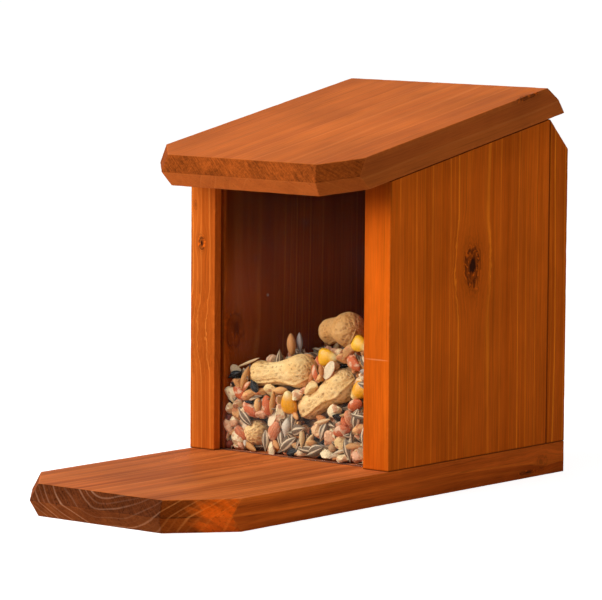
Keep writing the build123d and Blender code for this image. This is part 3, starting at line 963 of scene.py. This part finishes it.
def peanut_radius(x):
    """Radius of the shell along its axis: two round lobes and a waist that touches both."""
    small_end = X_SMALL + (X_WAIST - X_SMALL) * SMALL_LOBE / TO_SMALL
    large_end = X_LARGE + (X_WAIST - X_LARGE) * LARGE_LOBE / TO_LARGE
    small, large, hollow = (
        np.sqrt(np.clip(radius**2 - (x - middle) ** 2, 0, None))
        for radius, middle in ((SMALL_LOBE, X_SMALL), (LARGE_LOBE, X_LARGE), (WAIST_ROUND, X_WAIST))
    )
    return np.where(x < small_end, small, np.where(x > large_end, large, Z_WAIST - hollow))


def peanut_form(number, seam_angle, waist_bow, rows=112, columns=116):
    """A shell with long veins and a net of pits sunk into it, and how deep each point lies in a pit."""
    x = -PEANUT_LENGTH / 2 * np.cos(np.pi * (np.arange(rows) + 0.6) / (rows + 0.2))
    angle = 2 * np.pi * np.arange(columns) / columns
    along, around = (m.ravel() for m in np.meshgrid(x, angle, indexing="ij"))
    radius = peanut_radius(along)
    skin = np.stack([along, radius * np.cos(around), radius * np.sin(around)], 1)
    skin = np.concatenate([[[-PEANUT_LENGTH / 2, 0, 0]], skin, [[PEANUT_LENGTH / 2, 0, 0]]])
    inward = -skin.copy()
    inward[:, 0] += np.clip(skin[:, 0], X_SMALL, X_LARGE)
    inward /= np.linalg.norm(inward, axis=1)[:, None]
    start = Vector((13.0 * number, 5.0, 7.0 * number))
    pit, bent, vein, seam = np.zeros((4, len(skin)))
    for i, point in enumerate(skin):
        sway = 0.35 * noise.noise(Vector(point * 0.25) + start)
        stretched = point[0] * NET_STRETCH / NET_CELL + sway
        cell = Vector((stretched, point[1] / NET_CELL, point[2] / NET_CELL)) + start
        near, next_near = noise.voronoi(cell)[0][:2]
        pit[i] = next_near - near
        bent[i] = noise.noise(Vector(point * 0.09) + start)
    pit = smooth_step(pit, 0.02, 0.42)
    vein[1:-1] = 0.5 + 0.5 * np.cos(VEIN_COUNT * around + 2.2 * bent[1:-1])
    from_seam = around - seam_angle - 0.3 * bent[1:-1]
    seam[1:-1] = np.exp(-((from_seam / SEAM_WIDTH) ** 2))
    sink = NET_DEPTH * pit + VEIN_DEPTH * (1 - vein) ** 2 + DENT_DEPTH * (bent + 0.6).clip(0, None)
    sink = sink * (1 - 0.8 * seam) - SEAM_RIDGE * seam
    bow = waist_bow * np.exp(-(((skin[:, 0] - X_WAIST) / BOW_REACH) ** 2))
    to_seam = np.array([0.0, math.cos(seam_angle), math.sin(seam_angle)])
    return skin + inward * sink[:, None] + bow[:, None] * to_seam, grid_faces(rows, columns), pit


def shell_material():
    """Dry peanut shell: straw colour, brown in the pits, with fine long fibres, and painted shade on a
    shaded shell.
    """
    g = new_graph("peanut_shell")
    spot = g.place()
    fibre = g.noise(spot, 2.2, 4.0, 0.65)
    blotch = g.noise(spot, 0.11, 3.0, 0.6)
    speck = g.noise(spot, 0.85)
    straw = g.mix(g.remap(blotch, 0.3, 0.7), (242, 191, 120), (253, 214, 150))
    brown = g.remap(g.attribute("pit"), 0.45, 1.0) * g.remap(speck, 0.48, 0.66, 0.12, 0.7)
    colour = g.mix(brown, straw, (150, 98, 48)) * g.remap(fibre, 0.25, 0.75, 0.86, 1.08)
    # Painted shade: a shaded shell is darker and browner
    colour = g.mix(g.attribute("painted_shade"), colour, colour * (0.74, 0.58, 0.46))
    return g.surface(colour, g.remap(fibre, 0.2, 0.8, 0.6, 0.8), g.bump(fibre, 0.12), gloss=0.15)


peanut_shell = shell_material()
for number, (name, (place, seam_angle, waist_bow, shade_amount)) in enumerate(PEANUTS.items()):
    points, faces, pit = peanut_form(number, seam_angle, waist_bow)
    mesh = joined_mesh(name + "_shell", [(placed(points, place), faces)])
    add_attribute(mesh, "pit", pit)
    # How much painted shade each shell gets
    add_attribute(mesh, "painted_shade", np.full(len(points), shade_amount))
    new_piece(name + "_shell", mesh, peanut_shell, "box", [name])


# Camera: its place in metres, and where it looks
CAMERA_PLACE = (1.2348, -1.5141, 0.3008)
CAMERA_AZIMUTH, CAMERA_ELEVATION, CAMERA_ROLL = (math.radians(a) for a in (39.052, 6.153, 0.427))
CAMERA_LENS, CAMERA_SENSOR = 251.5, 36.0


def camera_back():
    """Direction from the part to the camera."""
    level = Vector((math.sin(CAMERA_AZIMUTH), -math.cos(CAMERA_AZIMUTH), 0))
    return level * math.cos(CAMERA_ELEVATION) + Vector((0, 0, math.sin(CAMERA_ELEVATION)))


# Seeds: forms along X, with their flat side down

SEED_ROWS, SEED_COLUMNS = 9, 12


def form_grid(swell, length, width, thick):
    """Shares along and angles round a seed, and its points before any further shaping."""
    share = 0.5 - 0.5 * np.cos(np.pi * (np.arange(SEED_ROWS) + 0.75) / (SEED_ROWS + 0.5))
    angle = 2 * np.pi * np.arange(SEED_COLUMNS) / SEED_COLUMNS
    along, around = (m.ravel() for m in np.meshgrid(share, angle, indexing="ij"))
    wide, high = swell(along)
    points = np.stack([
        length * (along - 0.5), width / 2 * wide * np.cos(around), thick / 2 * high * np.sin(around)], 1)
    return along, around, points


def closed_form(points, along, around):
    """Add the two end points, and keep where each point lies round and along the seed."""
    first, last = points[:SEED_COLUMNS].mean(0), points[-SEED_COLUMNS:].mean(0)
    step = np.array([(along[SEED_COLUMNS] - along[0]) * (points[-1, 0] - points[0, 0]) * 0.2, 0, 0])
    shape = np.stack([np.cos(around), np.sin(around), along], 1)
    whole = np.concatenate([[first - step], points, [last + step]])
    return whole, np.concatenate([[[0, 0, 0]], shape, [[0, 0, 1]]])


def sunflower_swell(t):
    wide = np.sin(np.pi * t**1.2) ** 0.8 * (0.6 + 0.4 * smooth_step(t, 0.0, 0.5))
    return wide, wide**1.1


def corn_swell(t):
    crown = np.sqrt(np.clip(1 - (np.clip(t - 0.8, 0, None) / 0.2) ** 2, 0.02, 1))
    tip = np.sqrt(np.clip(t / 0.1, 0, 1))
    wide = 0.4 + 0.6 * smooth_step(t, 0.0, 0.62)
    high = 0.6 + 0.4 * smooth_step(t, 0.0, 0.5)
    return wide * crown * tip, high * crown * tip


def grain_swell(power):
    def swell(t):
        return np.sin(np.pi * t) ** power, np.sin(np.pi * t) ** power
    return swell


def sunflower(rng, *size):
    along, around, points = form_grid(sunflower_swell, *size)
    points[:, 2] *= 1 - 0.25 * np.abs(np.cos(around))
    return closed_form(points, along, around)


def corn(rng, *size):
    along, around, points = form_grid(corn_swell, *size)
    dent = smooth_step(along, 0.55, 1.0) * np.exp(-((np.cos(around) / 0.6) ** 2))
    points[:, 2] *= 1 - 0.3 * dent * (np.sin(around) > 0)
    return closed_form(points, along, around)


def wheat(rng, *size):
    along, around, points = form_grid(grain_swell(0.6), *size)
    crease = np.exp(-(((around - 1.5 * np.pi) / 0.4) ** 2))
    points[:, 1:] *= (1 - 0.35 * crease)[:, None]
    return closed_form(points, along, around)


def husk(rng, length, width, thick):
    along, around, points = form_grid(grain_swell(0.8), length, width, thick)
    points[:, 1:] *= (1 + 0.08 * np.cos(5 * around))[:, None]
    points[:, 2] += 0.08 * length * (along - 0.5) ** 2
    return closed_form(points, along, around)


def kernel(rng, length, width, thick):
    along, around, points = form_grid(grain_swell(0.45), length, width, thick)
    below = points[:, 2] < 0
    points[below, 2] *= 0.25
    groove = np.exp(-((np.cos(around) / 0.25) ** 2)) * below
    points[:, 2] += 0.15 * thick * groove
    return closed_form(points, along, around)


def chunk(rng, *size):
    along, around, points = form_grid(grain_swell(0.5), 1.0, 1.0, 1.0)
    heading = points / np.linalg.norm(points, axis=1)[:, None]
    planes = rng.normal(size=(8, 3))
    planes /= np.linalg.norm(planes, axis=1)[:, None]
    facing = np.clip(heading @ planes.T, 0.05, None)
    reach = np.minimum((rng.uniform(0.28, 0.52, 8) / facing).min(1), 0.62)
    return closed_form(heading * reach[:, None] * size, along, around)


def ball(rng, *size):
    along, around, points = form_grid(grain_swell(0.5), *size)
    points[:, 1:] *= (1 - 0.12 * smooth_step(along, 0.8, 1.0))[:, None]
    return closed_form(points, along, around)


# Kind of seed: its form, length, width, thickness and share of the mix
SEED_KINDS = {
    "striped_sunflower": (sunflower, 12.0, 5.6, 3.4, 0.29),
    "black_sunflower": (sunflower, 9.2, 4.5, 3.0, 0.06),
    "maize": (corn, 10.0, 8.2, 4.6, 0.004),
    "wheat": (wheat, 6.8, 3.3, 2.9, 0.11),
    "oat": (husk, 11.0, 3.2, 2.5, 0.08),
    "kernel": (kernel, 9.6, 5.8, 4.4, 0.12),
    "chip": (chunk, 7.4, 6.0, 4.2, 0.18),
    "safflower": (sunflower, 7.6, 3.9, 3.2, 0.04),
    "sorghum": (ball, 4.3, 4.2, 3.9, 0.03),
    "heart": (sunflower, 8.6, 4.2, 2.6, 0.03),
    "stalk": (husk, 15.0, 1.3, 1.2, 0.012),
}

# Seeds put where the photo shows such seeds, and after them eight that fill gaps beside the peanuts:
# kind, place across, behind the window and up, tilt, and size
SHOWN_SEEDS = (
    ("maize", -7.5, 3.4, 41.0, -96, 1.15),
    ("maize", 15.0, 4.5, 63.6, 178, 1.05),
    ("maize", 34.5, 4.0, 71.5, 160, 0.95),
    ("maize", 35.0, 3.0, 50.0, 60, 1.0),
    ("wheat", -18.6, 19.5, 66.2, 96, 1.6),
    ("heart", -16.9, 21.5, 66.4, 92, 1.3),
    ("oat", -34.2, 3.0, 50.0, 74, 1.1),
    ("black_sunflower", -28.9, 3.0, 46.9, -52, 0.9),
    ("black_sunflower", -40.0, 3.0, 51.0, 18, 1.0),
    ("stalk", -34.0, 5.0, 57.0, 33, 1.0),
    ("kernel", -36.5, 3.4, 44.0, -50, 0.95),
    ("kernel", -30.7, 3.4, 36.9, -40, 1.05),
    ("kernel", -15.2, 3.4, 27.2, 68, 1.2),
    ("kernel", 24.2, 3.4, 32.8, 25, 1.0),
    ("kernel", 33.0, 3.4, 44.0, 30, 1.0),
    ("kernel", -20.2, 3.0, 39.0, -69, 1.0),
    ("wheat", -26.4, 2.4, 38.7, 80, 1.1),
    ("safflower", -8.8, 2.0, 28.9, 92, 1.25),
    ("striped_sunflower", -8.0, 2.4, 20.6, 30, 1.15),
    ("striped_sunflower", 9.5, 2.4, 19.0, 18, 1.1),
    ("striped_sunflower", 33.6, 2.4, 36.8, 88, 1.0),
    ("striped_sunflower", 38.5, 2.6, 30.0, 80, 1.0),
    ("striped_sunflower", 28.5, 2.4, 22.0, 100, 1.0),
    ("striped_sunflower", -20.0, 2.4, 21.5, 110, 0.9),
    ("chip", 17.6, 3.2, 26.6, 20, 1.1),
    ("chip", 11.5, 3.2, 29.4, 60, 1.1),
    ("chip", 16.5, 3.2, 19.0, 0, 1.15),
    ("chip", -39.5, 3.2, 21.0, 0, 1.1),
    ("kernel", 32.1, 3.6, 63.5, -30, 1.15),
    ("chip", 6.5, 5.5, 47.9, 30, 1.0),
    ("wheat", 3.7, 7.0, 51.3, 70, 1.2),
    ("kernel", 8.5, 7.0, 56.1, -35, 1.0),
    ("chip", 1.5, 7.5, 45.5, 0, 0.9),
    ("wheat", -14.5, 5.0, 45.5, 10, 1.2),
    ("chip", -20.0, 5.5, 44.8, 0, 1.0),
    ("chip", 20.5, 4.0, 38.5, 20, 1.0),
    ("wheat", 11.5, 5.0, 34.2, -20, 1.2),
)
SEED_COUNT = 1720
SEED_LAYER = 13.0
FRONT_SHARE = 0.36
SHOWN_WEIGHT = 0.12

# Where random seeds start: the gap to the walls, and heights over the heap's top behind and in front
START_GAP, START_RISE, START_DROP = 2, 2.5, -2.0

# Settling: rounds, how far seeds sink in each, rounds between searches for neighbours and their reach,
# the gap to the hopper's walls, how far a seed can leave the core in one round, and how much many
# pushes at once are damped
SETTLE_ROUNDS, SINK_STEP = 110, 0.05
SEARCH_EVERY, SEARCH_REACH = 6, 0.6
WALL_GAP, CORE_STEP = 0.3, 0.6
PUSH_DAMPING = 0.55
NEARLY_NOTHING = 1e-6

# Room kept clear before the peanuts, before and after the seeds settle
CLEAR_BEFORE, CLEAR_AFTER = 1.6, 0.9


def seed_balls(length, width, thick):
    """Five balls that stand for a seed while it settles: places and radii."""
    radius = thick / 2
    end, side = length / 2 - 0.75 * radius, max(width / 2 - radius, 0.05)
    places = [(-end, 0, 0), (end, 0, 0), (0, -side, 0), (0, side, 0), (0, 0, 0)]
    return np.array(places), np.array([0.7, 0.7, 0.95, 0.95, 1.0]) * radius


def random_turns(rng, count):
    turns = np.linalg.qr(rng.normal(size=(count, 3, 3)))[0]
    turns[:, :, 2] *= np.sign(np.linalg.det(turns))[:, None]
    return turns


def near_pairs(places, radii, owner):
    """Pairs of balls of different seeds that are close enough to meet soon."""
    tree = kdtree.KDTree(len(places))
    for i, place in enumerate(places):
        tree.insert(place, i)
    tree.balance()
    widest = radii.max()
    return np.array([
        (i, j)
        for i, place in enumerate(places)
        for _, j, distance in tree.find_range(place, radii[i] + widest + SEARCH_REACH)
        if j > i and owner[i] != owner[j] and distance < radii[i] + radii[j] + SEARCH_REACH
    ])


def kept_inside(places, size):
    """Balls moved back into the hopper, and out of the heap's core."""
    places[:, 0] = np.clip(places[:, 0], size - INNER_HALF + WALL_GAP, INNER_HALF - WALL_GAP - size)
    places[:, 1] = np.clip(places[:, 1], Y_PANE + WALL_GAP + size, Y_HOPPER_BACK - WALL_GAP - size)
    places[:, 2] = np.maximum(places[:, 2], BOARD + WALL_GAP + size)
    below_top = heap_height(places[:, 0], places[:, 1]) - SEED_LAYER - places[:, 2]
    behind_front = places[:, 1] - (Y_PANE + SEED_LAYER)
    inside = (behind_front > 0) & (below_top > 0)
    upward = below_top < behind_front
    places[:, 2] += np.where(inside & upward, np.minimum(below_top, CORE_STEP), 0.0)
    places[:, 1] -= np.where(inside & ~upward, np.minimum(behind_front, CORE_STEP), 0.0)
    return places


def settle(middles, turns, balls, radii, weight, fixed, fixed_radii):
    """Let seeds sink and push each other apart, inside the hopper and round the peanuts."""
    count, per_seed = radii.shape
    owner = np.concatenate([np.repeat(np.arange(count), per_seed), np.full(len(fixed), -1)])
    all_radii = np.concatenate([radii.ravel(), fixed_radii])
    mobile = np.concatenate([np.repeat(weight, per_seed), np.zeros(len(fixed))])
    for step in range(SETTLE_ROUNDS):
        middles[:, 2] -= SINK_STEP * weight
        spread = np.einsum("nij,nkj->nki", turns, balls)
        places = np.concatenate([(middles[:, None] + spread).reshape(-1, 3), fixed])
        if step % SEARCH_EVERY == 0:
            first, second = near_pairs(places, all_radii, owner).T
        gap = places[second] - places[first]
        distance = np.linalg.norm(gap, axis=1) + NEARLY_NOTHING
        overlap = np.clip(all_radii[first] + all_radii[second] - distance, 0, None)
        total = mobile[first] + mobile[second] + NEARLY_NOTHING
        push = gap / distance[:, None] * (overlap / total)[:, None]
        moves = np.zeros_like(places)
        hits = np.ones(len(places))
        for ball, way in ((first, -push), (second, push)):
            np.add.at(moves, ball, way * mobile[ball][:, None])
            np.add.at(hits, ball, overlap > 0)
        places = places + moves / np.maximum(1, PUSH_DAMPING * hits)[:, None]
        places = kept_inside(places[: count * per_seed], radii.ravel()).reshape(count, per_seed, 3)
        middles = places.mean(1)
        lever = np.einsum("nki,nkj->nij", places - middles[:, None], balls - balls.mean(1)[:, None])
        left, _, right = np.linalg.svd(lever)
        left[:, :, 2] *= np.sign(np.linalg.det(left @ right))[:, None]
        turns = left @ right
        middles = middles - np.einsum("nij,nj->ni", turns, balls.mean(1))
    return middles, turns


def in_front(middles, beads, bead_radii, margin):
    """Whether each seed hides a peanut that lies near the window from the camera."""
    toward = np.array(camera_back())
    near = beads[:, 1] < Y_PANE + SEED_LAYER
    offset = middles[:, None] - beads[near]
    ahead = offset @ toward
    beside = np.linalg.norm(offset - ahead[:, :, None] * toward, axis=2)
    return ((ahead > 0) & (beside < bead_radii[near] + margin)).any(1)


def scatter_seeds():
    """Kinds, sizes, places and turns of all seeds, with the placed ones first."""
    rng = np.random.default_rng(7)
    names = list(SEED_KINDS)
    shares = np.array([SEED_KINDS[n][4] for n in names])
    kinds = [s[0] for s in SHOWN_SEEDS] + rng.choice(names, SEED_COUNT, p=shares / shares.sum()).tolist()
    sizes = np.array([SEED_KINDS[k][1:4] for k in kinds])
    sizes[: len(SHOWN_SEEDS)] *= np.array([s[5] for s in SHOWN_SEEDS])[:, None]
    sizes[len(SHOWN_SEEDS):] *= rng.uniform(0.86, 1.12, (SEED_COUNT, 3))

    shown_turns = []
    for *_, tilt, _ in SHOWN_SEEDS:
        c, s = math.cos(math.radians(tilt)), math.sin(math.radians(tilt))
        shown_turns.append(np.array([(c, -s, 0), (0, 0, -1), (s, c, 0)]))
    shown_middles = [(x, Y_PANE + behind, z) for _, x, behind, z, _, _ in SHOWN_SEEDS]

    front = rng.random(SEED_COUNT) < FRONT_SHARE
    x = rng.uniform(-INNER_HALF + START_GAP, INNER_HALF - START_GAP, SEED_COUNT)
    y_front = rng.uniform(Y_PANE + START_GAP, Y_PANE + SEED_LAYER, SEED_COUNT)
    y_any = rng.uniform(Y_PANE + START_GAP, Y_HOPPER_BACK - START_GAP, SEED_COUNT)
    y = np.where(front, y_front, y_any)
    top = heap_height(x, y) + np.where(y > Y_PANE + SEED_LAYER, START_RISE, START_DROP)
    z = np.where(front, rng.uniform(BOARD + 1, top), rng.uniform(top - SEED_LAYER - 3.0, top))
    middles = np.concatenate([shown_middles, np.stack([x, y, z], 1)])
    turns = np.concatenate([shown_turns, random_turns(rng, SEED_COUNT)])
    weight = np.concatenate([np.full(len(SHOWN_SEEDS), SHOWN_WEIGHT), np.ones(SEED_COUNT)])

    balls, radii = (np.array(part) for part in zip(*(seed_balls(*size) for size in sizes)))
    axis = np.linspace(X_SMALL, X_LARGE, 9)
    beads = np.stack([axis, 0 * axis, 0 * axis], 1)
    fixed = np.concatenate([placed(beads, place) for place, *_ in PEANUTS.values()])
    fixed_radii = np.tile(peanut_radius(axis), len(PEANUTS))
    shown = np.arange(len(kinds)) < len(SHOWN_SEEDS)
    kept = np.flatnonzero(shown | ~in_front(middles, fixed, fixed_radii, CLEAR_BEFORE))
    middles[kept], turns[kept] = settle(
        middles[kept], turns[kept], balls[kept], radii[kept], weight[kept], fixed, fixed_radii)
    kept = kept[shown[kept] | ~in_front(middles[kept], fixed, fixed_radii, CLEAR_AFTER)]
    return [kinds[i] for i in kept], sizes[kept], middles[kept], turns[kept], rng


def dry(name, colour_of, rough=(0.5, 0.7), bump=0.1, grain=1.6, gloss=0.25):
    """A seed's coat: its colour comes from its place round the seed, a random number and noise."""
    g = new_graph(name)
    spot = g.place()
    fine = g.noise(spot, grain, 4.0, 0.6)
    colour = colour_of(g, g.attribute("shape", "Vector"), g.attribute("pick"), spot)
    colour = colour * g.remap(fine, 0.25, 0.75, 0.82, 1.1)
    return g.surface(colour, g.remap(fine, 0.3, 0.7, *rough), g.bump(fine, bump), gloss)


def striped(dark, light, share):
    """Long stripes, as on sunflower seeds."""
    def colour_of(g, shape, pick, spot):
        sway = g.noise(shape * (2.2, 0.6, 0.5))
        wave = shape.dot(X_AXIS) * 7.0 + sway * 6.0 + pick * 40.0
        line = g.remap(wave.apply("SINE"), share, share + 0.8)
        return g.mix(line * g.remap(shape.dot(Z_AXIS), 0.0, 0.12, 0.5, 1.0), dark, light)
    return colour_of


def mottled(*colours, patch=None):
    """One of several colours for each seed, with patches of a last one."""
    def colour_of(g, shape, pick, spot):
        colour = colours[0]
        for number, other in enumerate(colours[1:], 1):
            edge = number / len(colours)
            colour = g.mix(g.remap(pick, edge - 0.06, edge + 0.06), colour, other)
        if patch:
            colour = g.mix(g.remap(g.noise(spot, 0.3, 3.0), 0.5, 0.6, 0.0, 0.7), colour, patch)
        return colour
    return colour_of


def maize_colour(g, shape, pick, spot):
    yellow = g.mix(pick, (236, 150, 12), (250, 188, 34))
    return g.mix(g.remap(shape.dot(Z_AXIS), 0.02, 0.42), (244, 216, 150), yellow)


def kernel_colour(g, shape, pick, spot):
    patch = g.noise(spot, 0.28, 3.0)
    vein = g.noise(shape * (7.0, 7.0, 1.2) + pick * NOISE_STEP, detail=3.0, rough=0.6)
    skin = g.mix(g.remap(pick, 0.2, 0.8), (212, 106, 58), (230, 150, 104))
    skin = g.mix(g.remap(vein, 0.45, 0.65, 0.0, 0.6), skin, (180, 80, 46))
    skin = g.mix(g.remap(patch, 0.5, 0.62, 0.0, 0.75), skin, (238, 202, 164))
    return g.mix(g.remap(shape.dot(Y_AXIS), -0.35, -0.1), (240, 212, 172), skin)


chip_colour = mottled(
    (242, 204, 140), (238, 180, 140), (248, 226, 180), (226, 166, 104), patch=(200, 114, 70))
SEED_COATS = {
    "striped_sunflower": dry("striped_coat", striped((114, 90, 68), (224, 198, 162), 0.1), bump=0.08),
    "black_sunflower": dry("black_coat", striped((24, 23, 24), (92, 88, 84), 0.55)),
    "maize": dry("maize_coat", maize_colour, (0.28, 0.45), 0.04, 0.8, 0.45),
    "wheat": dry("wheat_coat", mottled((212, 144, 84), (228, 170, 106), (196, 120, 64))),
    "oat": dry("oat_coat", mottled((222, 186, 132), (204, 142, 80), (234, 206, 160)), grain=2.4),
    "kernel": dry("kernel_coat", kernel_colour),
    "chip": dry("chip_coat", chip_colour),
    "safflower": dry("safflower_coat", mottled((234, 222, 202), (218, 200, 176)), gloss=0.35),
    "sorghum": dry("sorghum_coat", mottled((134, 56, 34), (196, 150, 104), (110, 44, 32))),
    "heart": dry("heart_coat", mottled((150, 134, 128), (178, 164, 152))),
    "stalk": dry("stalk_coat", mottled((222, 186, 138), (206, 160, 112)), grain=2.4),
}


def add_feed():
    kinds, sizes, middles, turns, rng = scatter_seeds()
    lots = {kind: [] for kind in SEED_KINDS}
    for kind, size, middle, turn in zip(kinds, sizes, middles, turns):
        points, shape = SEED_KINDS[kind][0](rng, *size)
        lots[kind].append((points @ turn.T + middle, shape, rng.random()))
    faces = grid_faces(SEED_ROWS, SEED_COLUMNS)
    for kind, seeds in lots.items():
        name = kind + "_seeds"
        mesh = joined_mesh(name, [(points, faces) for points, _, _ in seeds])
        if kind == "chip":
            mesh.shade_flat()
        add_attribute(mesh, "shape", np.concatenate([shape for _, shape, _ in seeds]), "FLOAT_VECTOR")
        add_attribute(mesh, "pick", np.concatenate([np.full(len(p), pick) for p, _, pick in seeds]))
        new_piece(name, mesh, SEED_COATS[kind], "box")


CORE_GAP, CORE_DEPTH, CORE_FOOT = 0.6, SEED_LAYER - 4.0, 0.1


def core_material():
    """Seeds deep in the heap: small cells in the mix's darker colours, with painted shade darkening each
    cell towards its rim, between the seeds.
    """
    g = new_graph("seed_core")
    cells = {"Vector": g.place(), "Scale": 0.2}
    pick = g.node("TexVoronoi", cells, output="Color").dot((0.4, 0.3, 0.3))
    away = g.node("TexVoronoi", cells, output="Distance")
    colour = g.mix(g.remap(pick, 0.3, 0.5), (92, 74, 60), (154, 100, 62))
    colour = g.mix(g.remap(pick, 0.55, 0.7), colour, (168, 128, 84))
    # Painted shade between the seeds, darkest at each cell's rim
    return g.surface(colour * g.remap(away, 0.2, 0.75, 0.9, 0.2), 0.8, g.bump(away, 1.0))


def add_core():
    """The heap's inside, under the seeds that show."""
    half = INNER_HALF - CORE_GAP
    front, back = Y_PANE + CORE_DEPTH, Y_HOPPER_BACK - CORE_GAP
    corners = [(-half, front), (half, front), (half, back), (-half, back)]
    bm = prism([
        [(x, y, BOARD + CORE_FOOT) for x, y in corners],
        [(x, y, heap_height(x, y) - CORE_DEPTH) for x, y in corners],
    ])
    mesh = board_mesh("seed_core", bm, (2.5, 2.5, 2.5), 2, shift=9.0)
    new_piece("seed_core", mesh, core_material(), "box", ["seed_heap"])


add_core()
add_feed()


# Camera, light and floor, in metres

LAMP_TARGET = (0.0, 0.0, 0.09)
FLOOR_HALF = 12.0
FLOOR_GLOW = 0.87


def add_camera():
    back = camera_back()
    right = Vector((math.cos(CAMERA_AZIMUTH), math.sin(CAMERA_AZIMUTH), 0))
    turned = Matrix((right, back.cross(right), back)).transposed().to_4x4()
    data = bpy.data.cameras.new("camera")
    data.lens, data.sensor_width, data.sensor_fit = CAMERA_LENS, CAMERA_SENSOR, "HORIZONTAL"
    data.clip_start, data.clip_end = 0.05, 50.0
    camera = add_object("camera", data)
    camera.matrix_world = Matrix.Translation(CAMERA_PLACE) @ turned @ Matrix.Rotation(CAMERA_ROLL, 4, "Z")
    bpy.context.scene.camera = camera


def add_lamp(name, place, size, power):
    data = bpy.data.lights.new(name, "AREA")
    data.shape, data.size, data.energy = "DISK", size, power
    aim = Vector(LAMP_TARGET) - Vector(place)
    turned = aim.to_track_quat("-Z", "Y").to_matrix().to_4x4()
    add_object(name, data).matrix_world = Matrix.Translation(place) @ turned


def add_world():
    world = bpy.data.worlds.new("studio")
    bpy.context.scene.world = world
    g = Graph(world)
    seen = g.node("Background", {"Color": WHITE, "Strength": 1.0})
    soft = g.node("Background", {"Color": (1.0, 0.98, 0.95, 1.0), "Strength": 0.3})
    g.node("OutputWorld", {"Surface": g.blend(background_rays(g), soft, seen)})


def add_floor():
    """A pale floor that shows white and keeps the shadow."""
    g = new_graph("floor")
    tone = g.mix(g.noise(g.place(), 0.05, 3.0), (0.78, 0.78, 0.78, 1.0), (0.8, 0.8, 0.8, 1.0))
    plain = g.node("BsdfDiffuse", {"Color": tone})
    shaded = g.node("BsdfDiffuse", {"Color": (0.5, 0.5, 0.5, 1.0)})
    glow = g.node("Emission", {"Color": WHITE, "Strength": FLOOR_GLOW})
    white = g.node("AddShader", {0: shaded, 1: glow})
    material = g.finish(g.blend(background_rays(g), plain, white))
    corners = [(x * FLOOR_HALF, y * FLOOR_HALF, 0) for x, y in ((-1, -1), (1, -1), (1, 1), (-1, 1))]
    mesh = bpy.data.meshes.new("floor")
    mesh.from_pydata(corners, [], [(0, 1, 2, 3)])
    floor = add_object("floor", mesh)
    paint(floor, material)


add_camera()
add_world()
add_floor()
add_lamp("key", (-0.56, -0.94, 0.76), 1.5, 23.6)
add_lamp("fill", (1.6, -0.5, 0.9), 1.2, 1.2)
bpy.context.scene.view_settings.view_transform = "Standard"
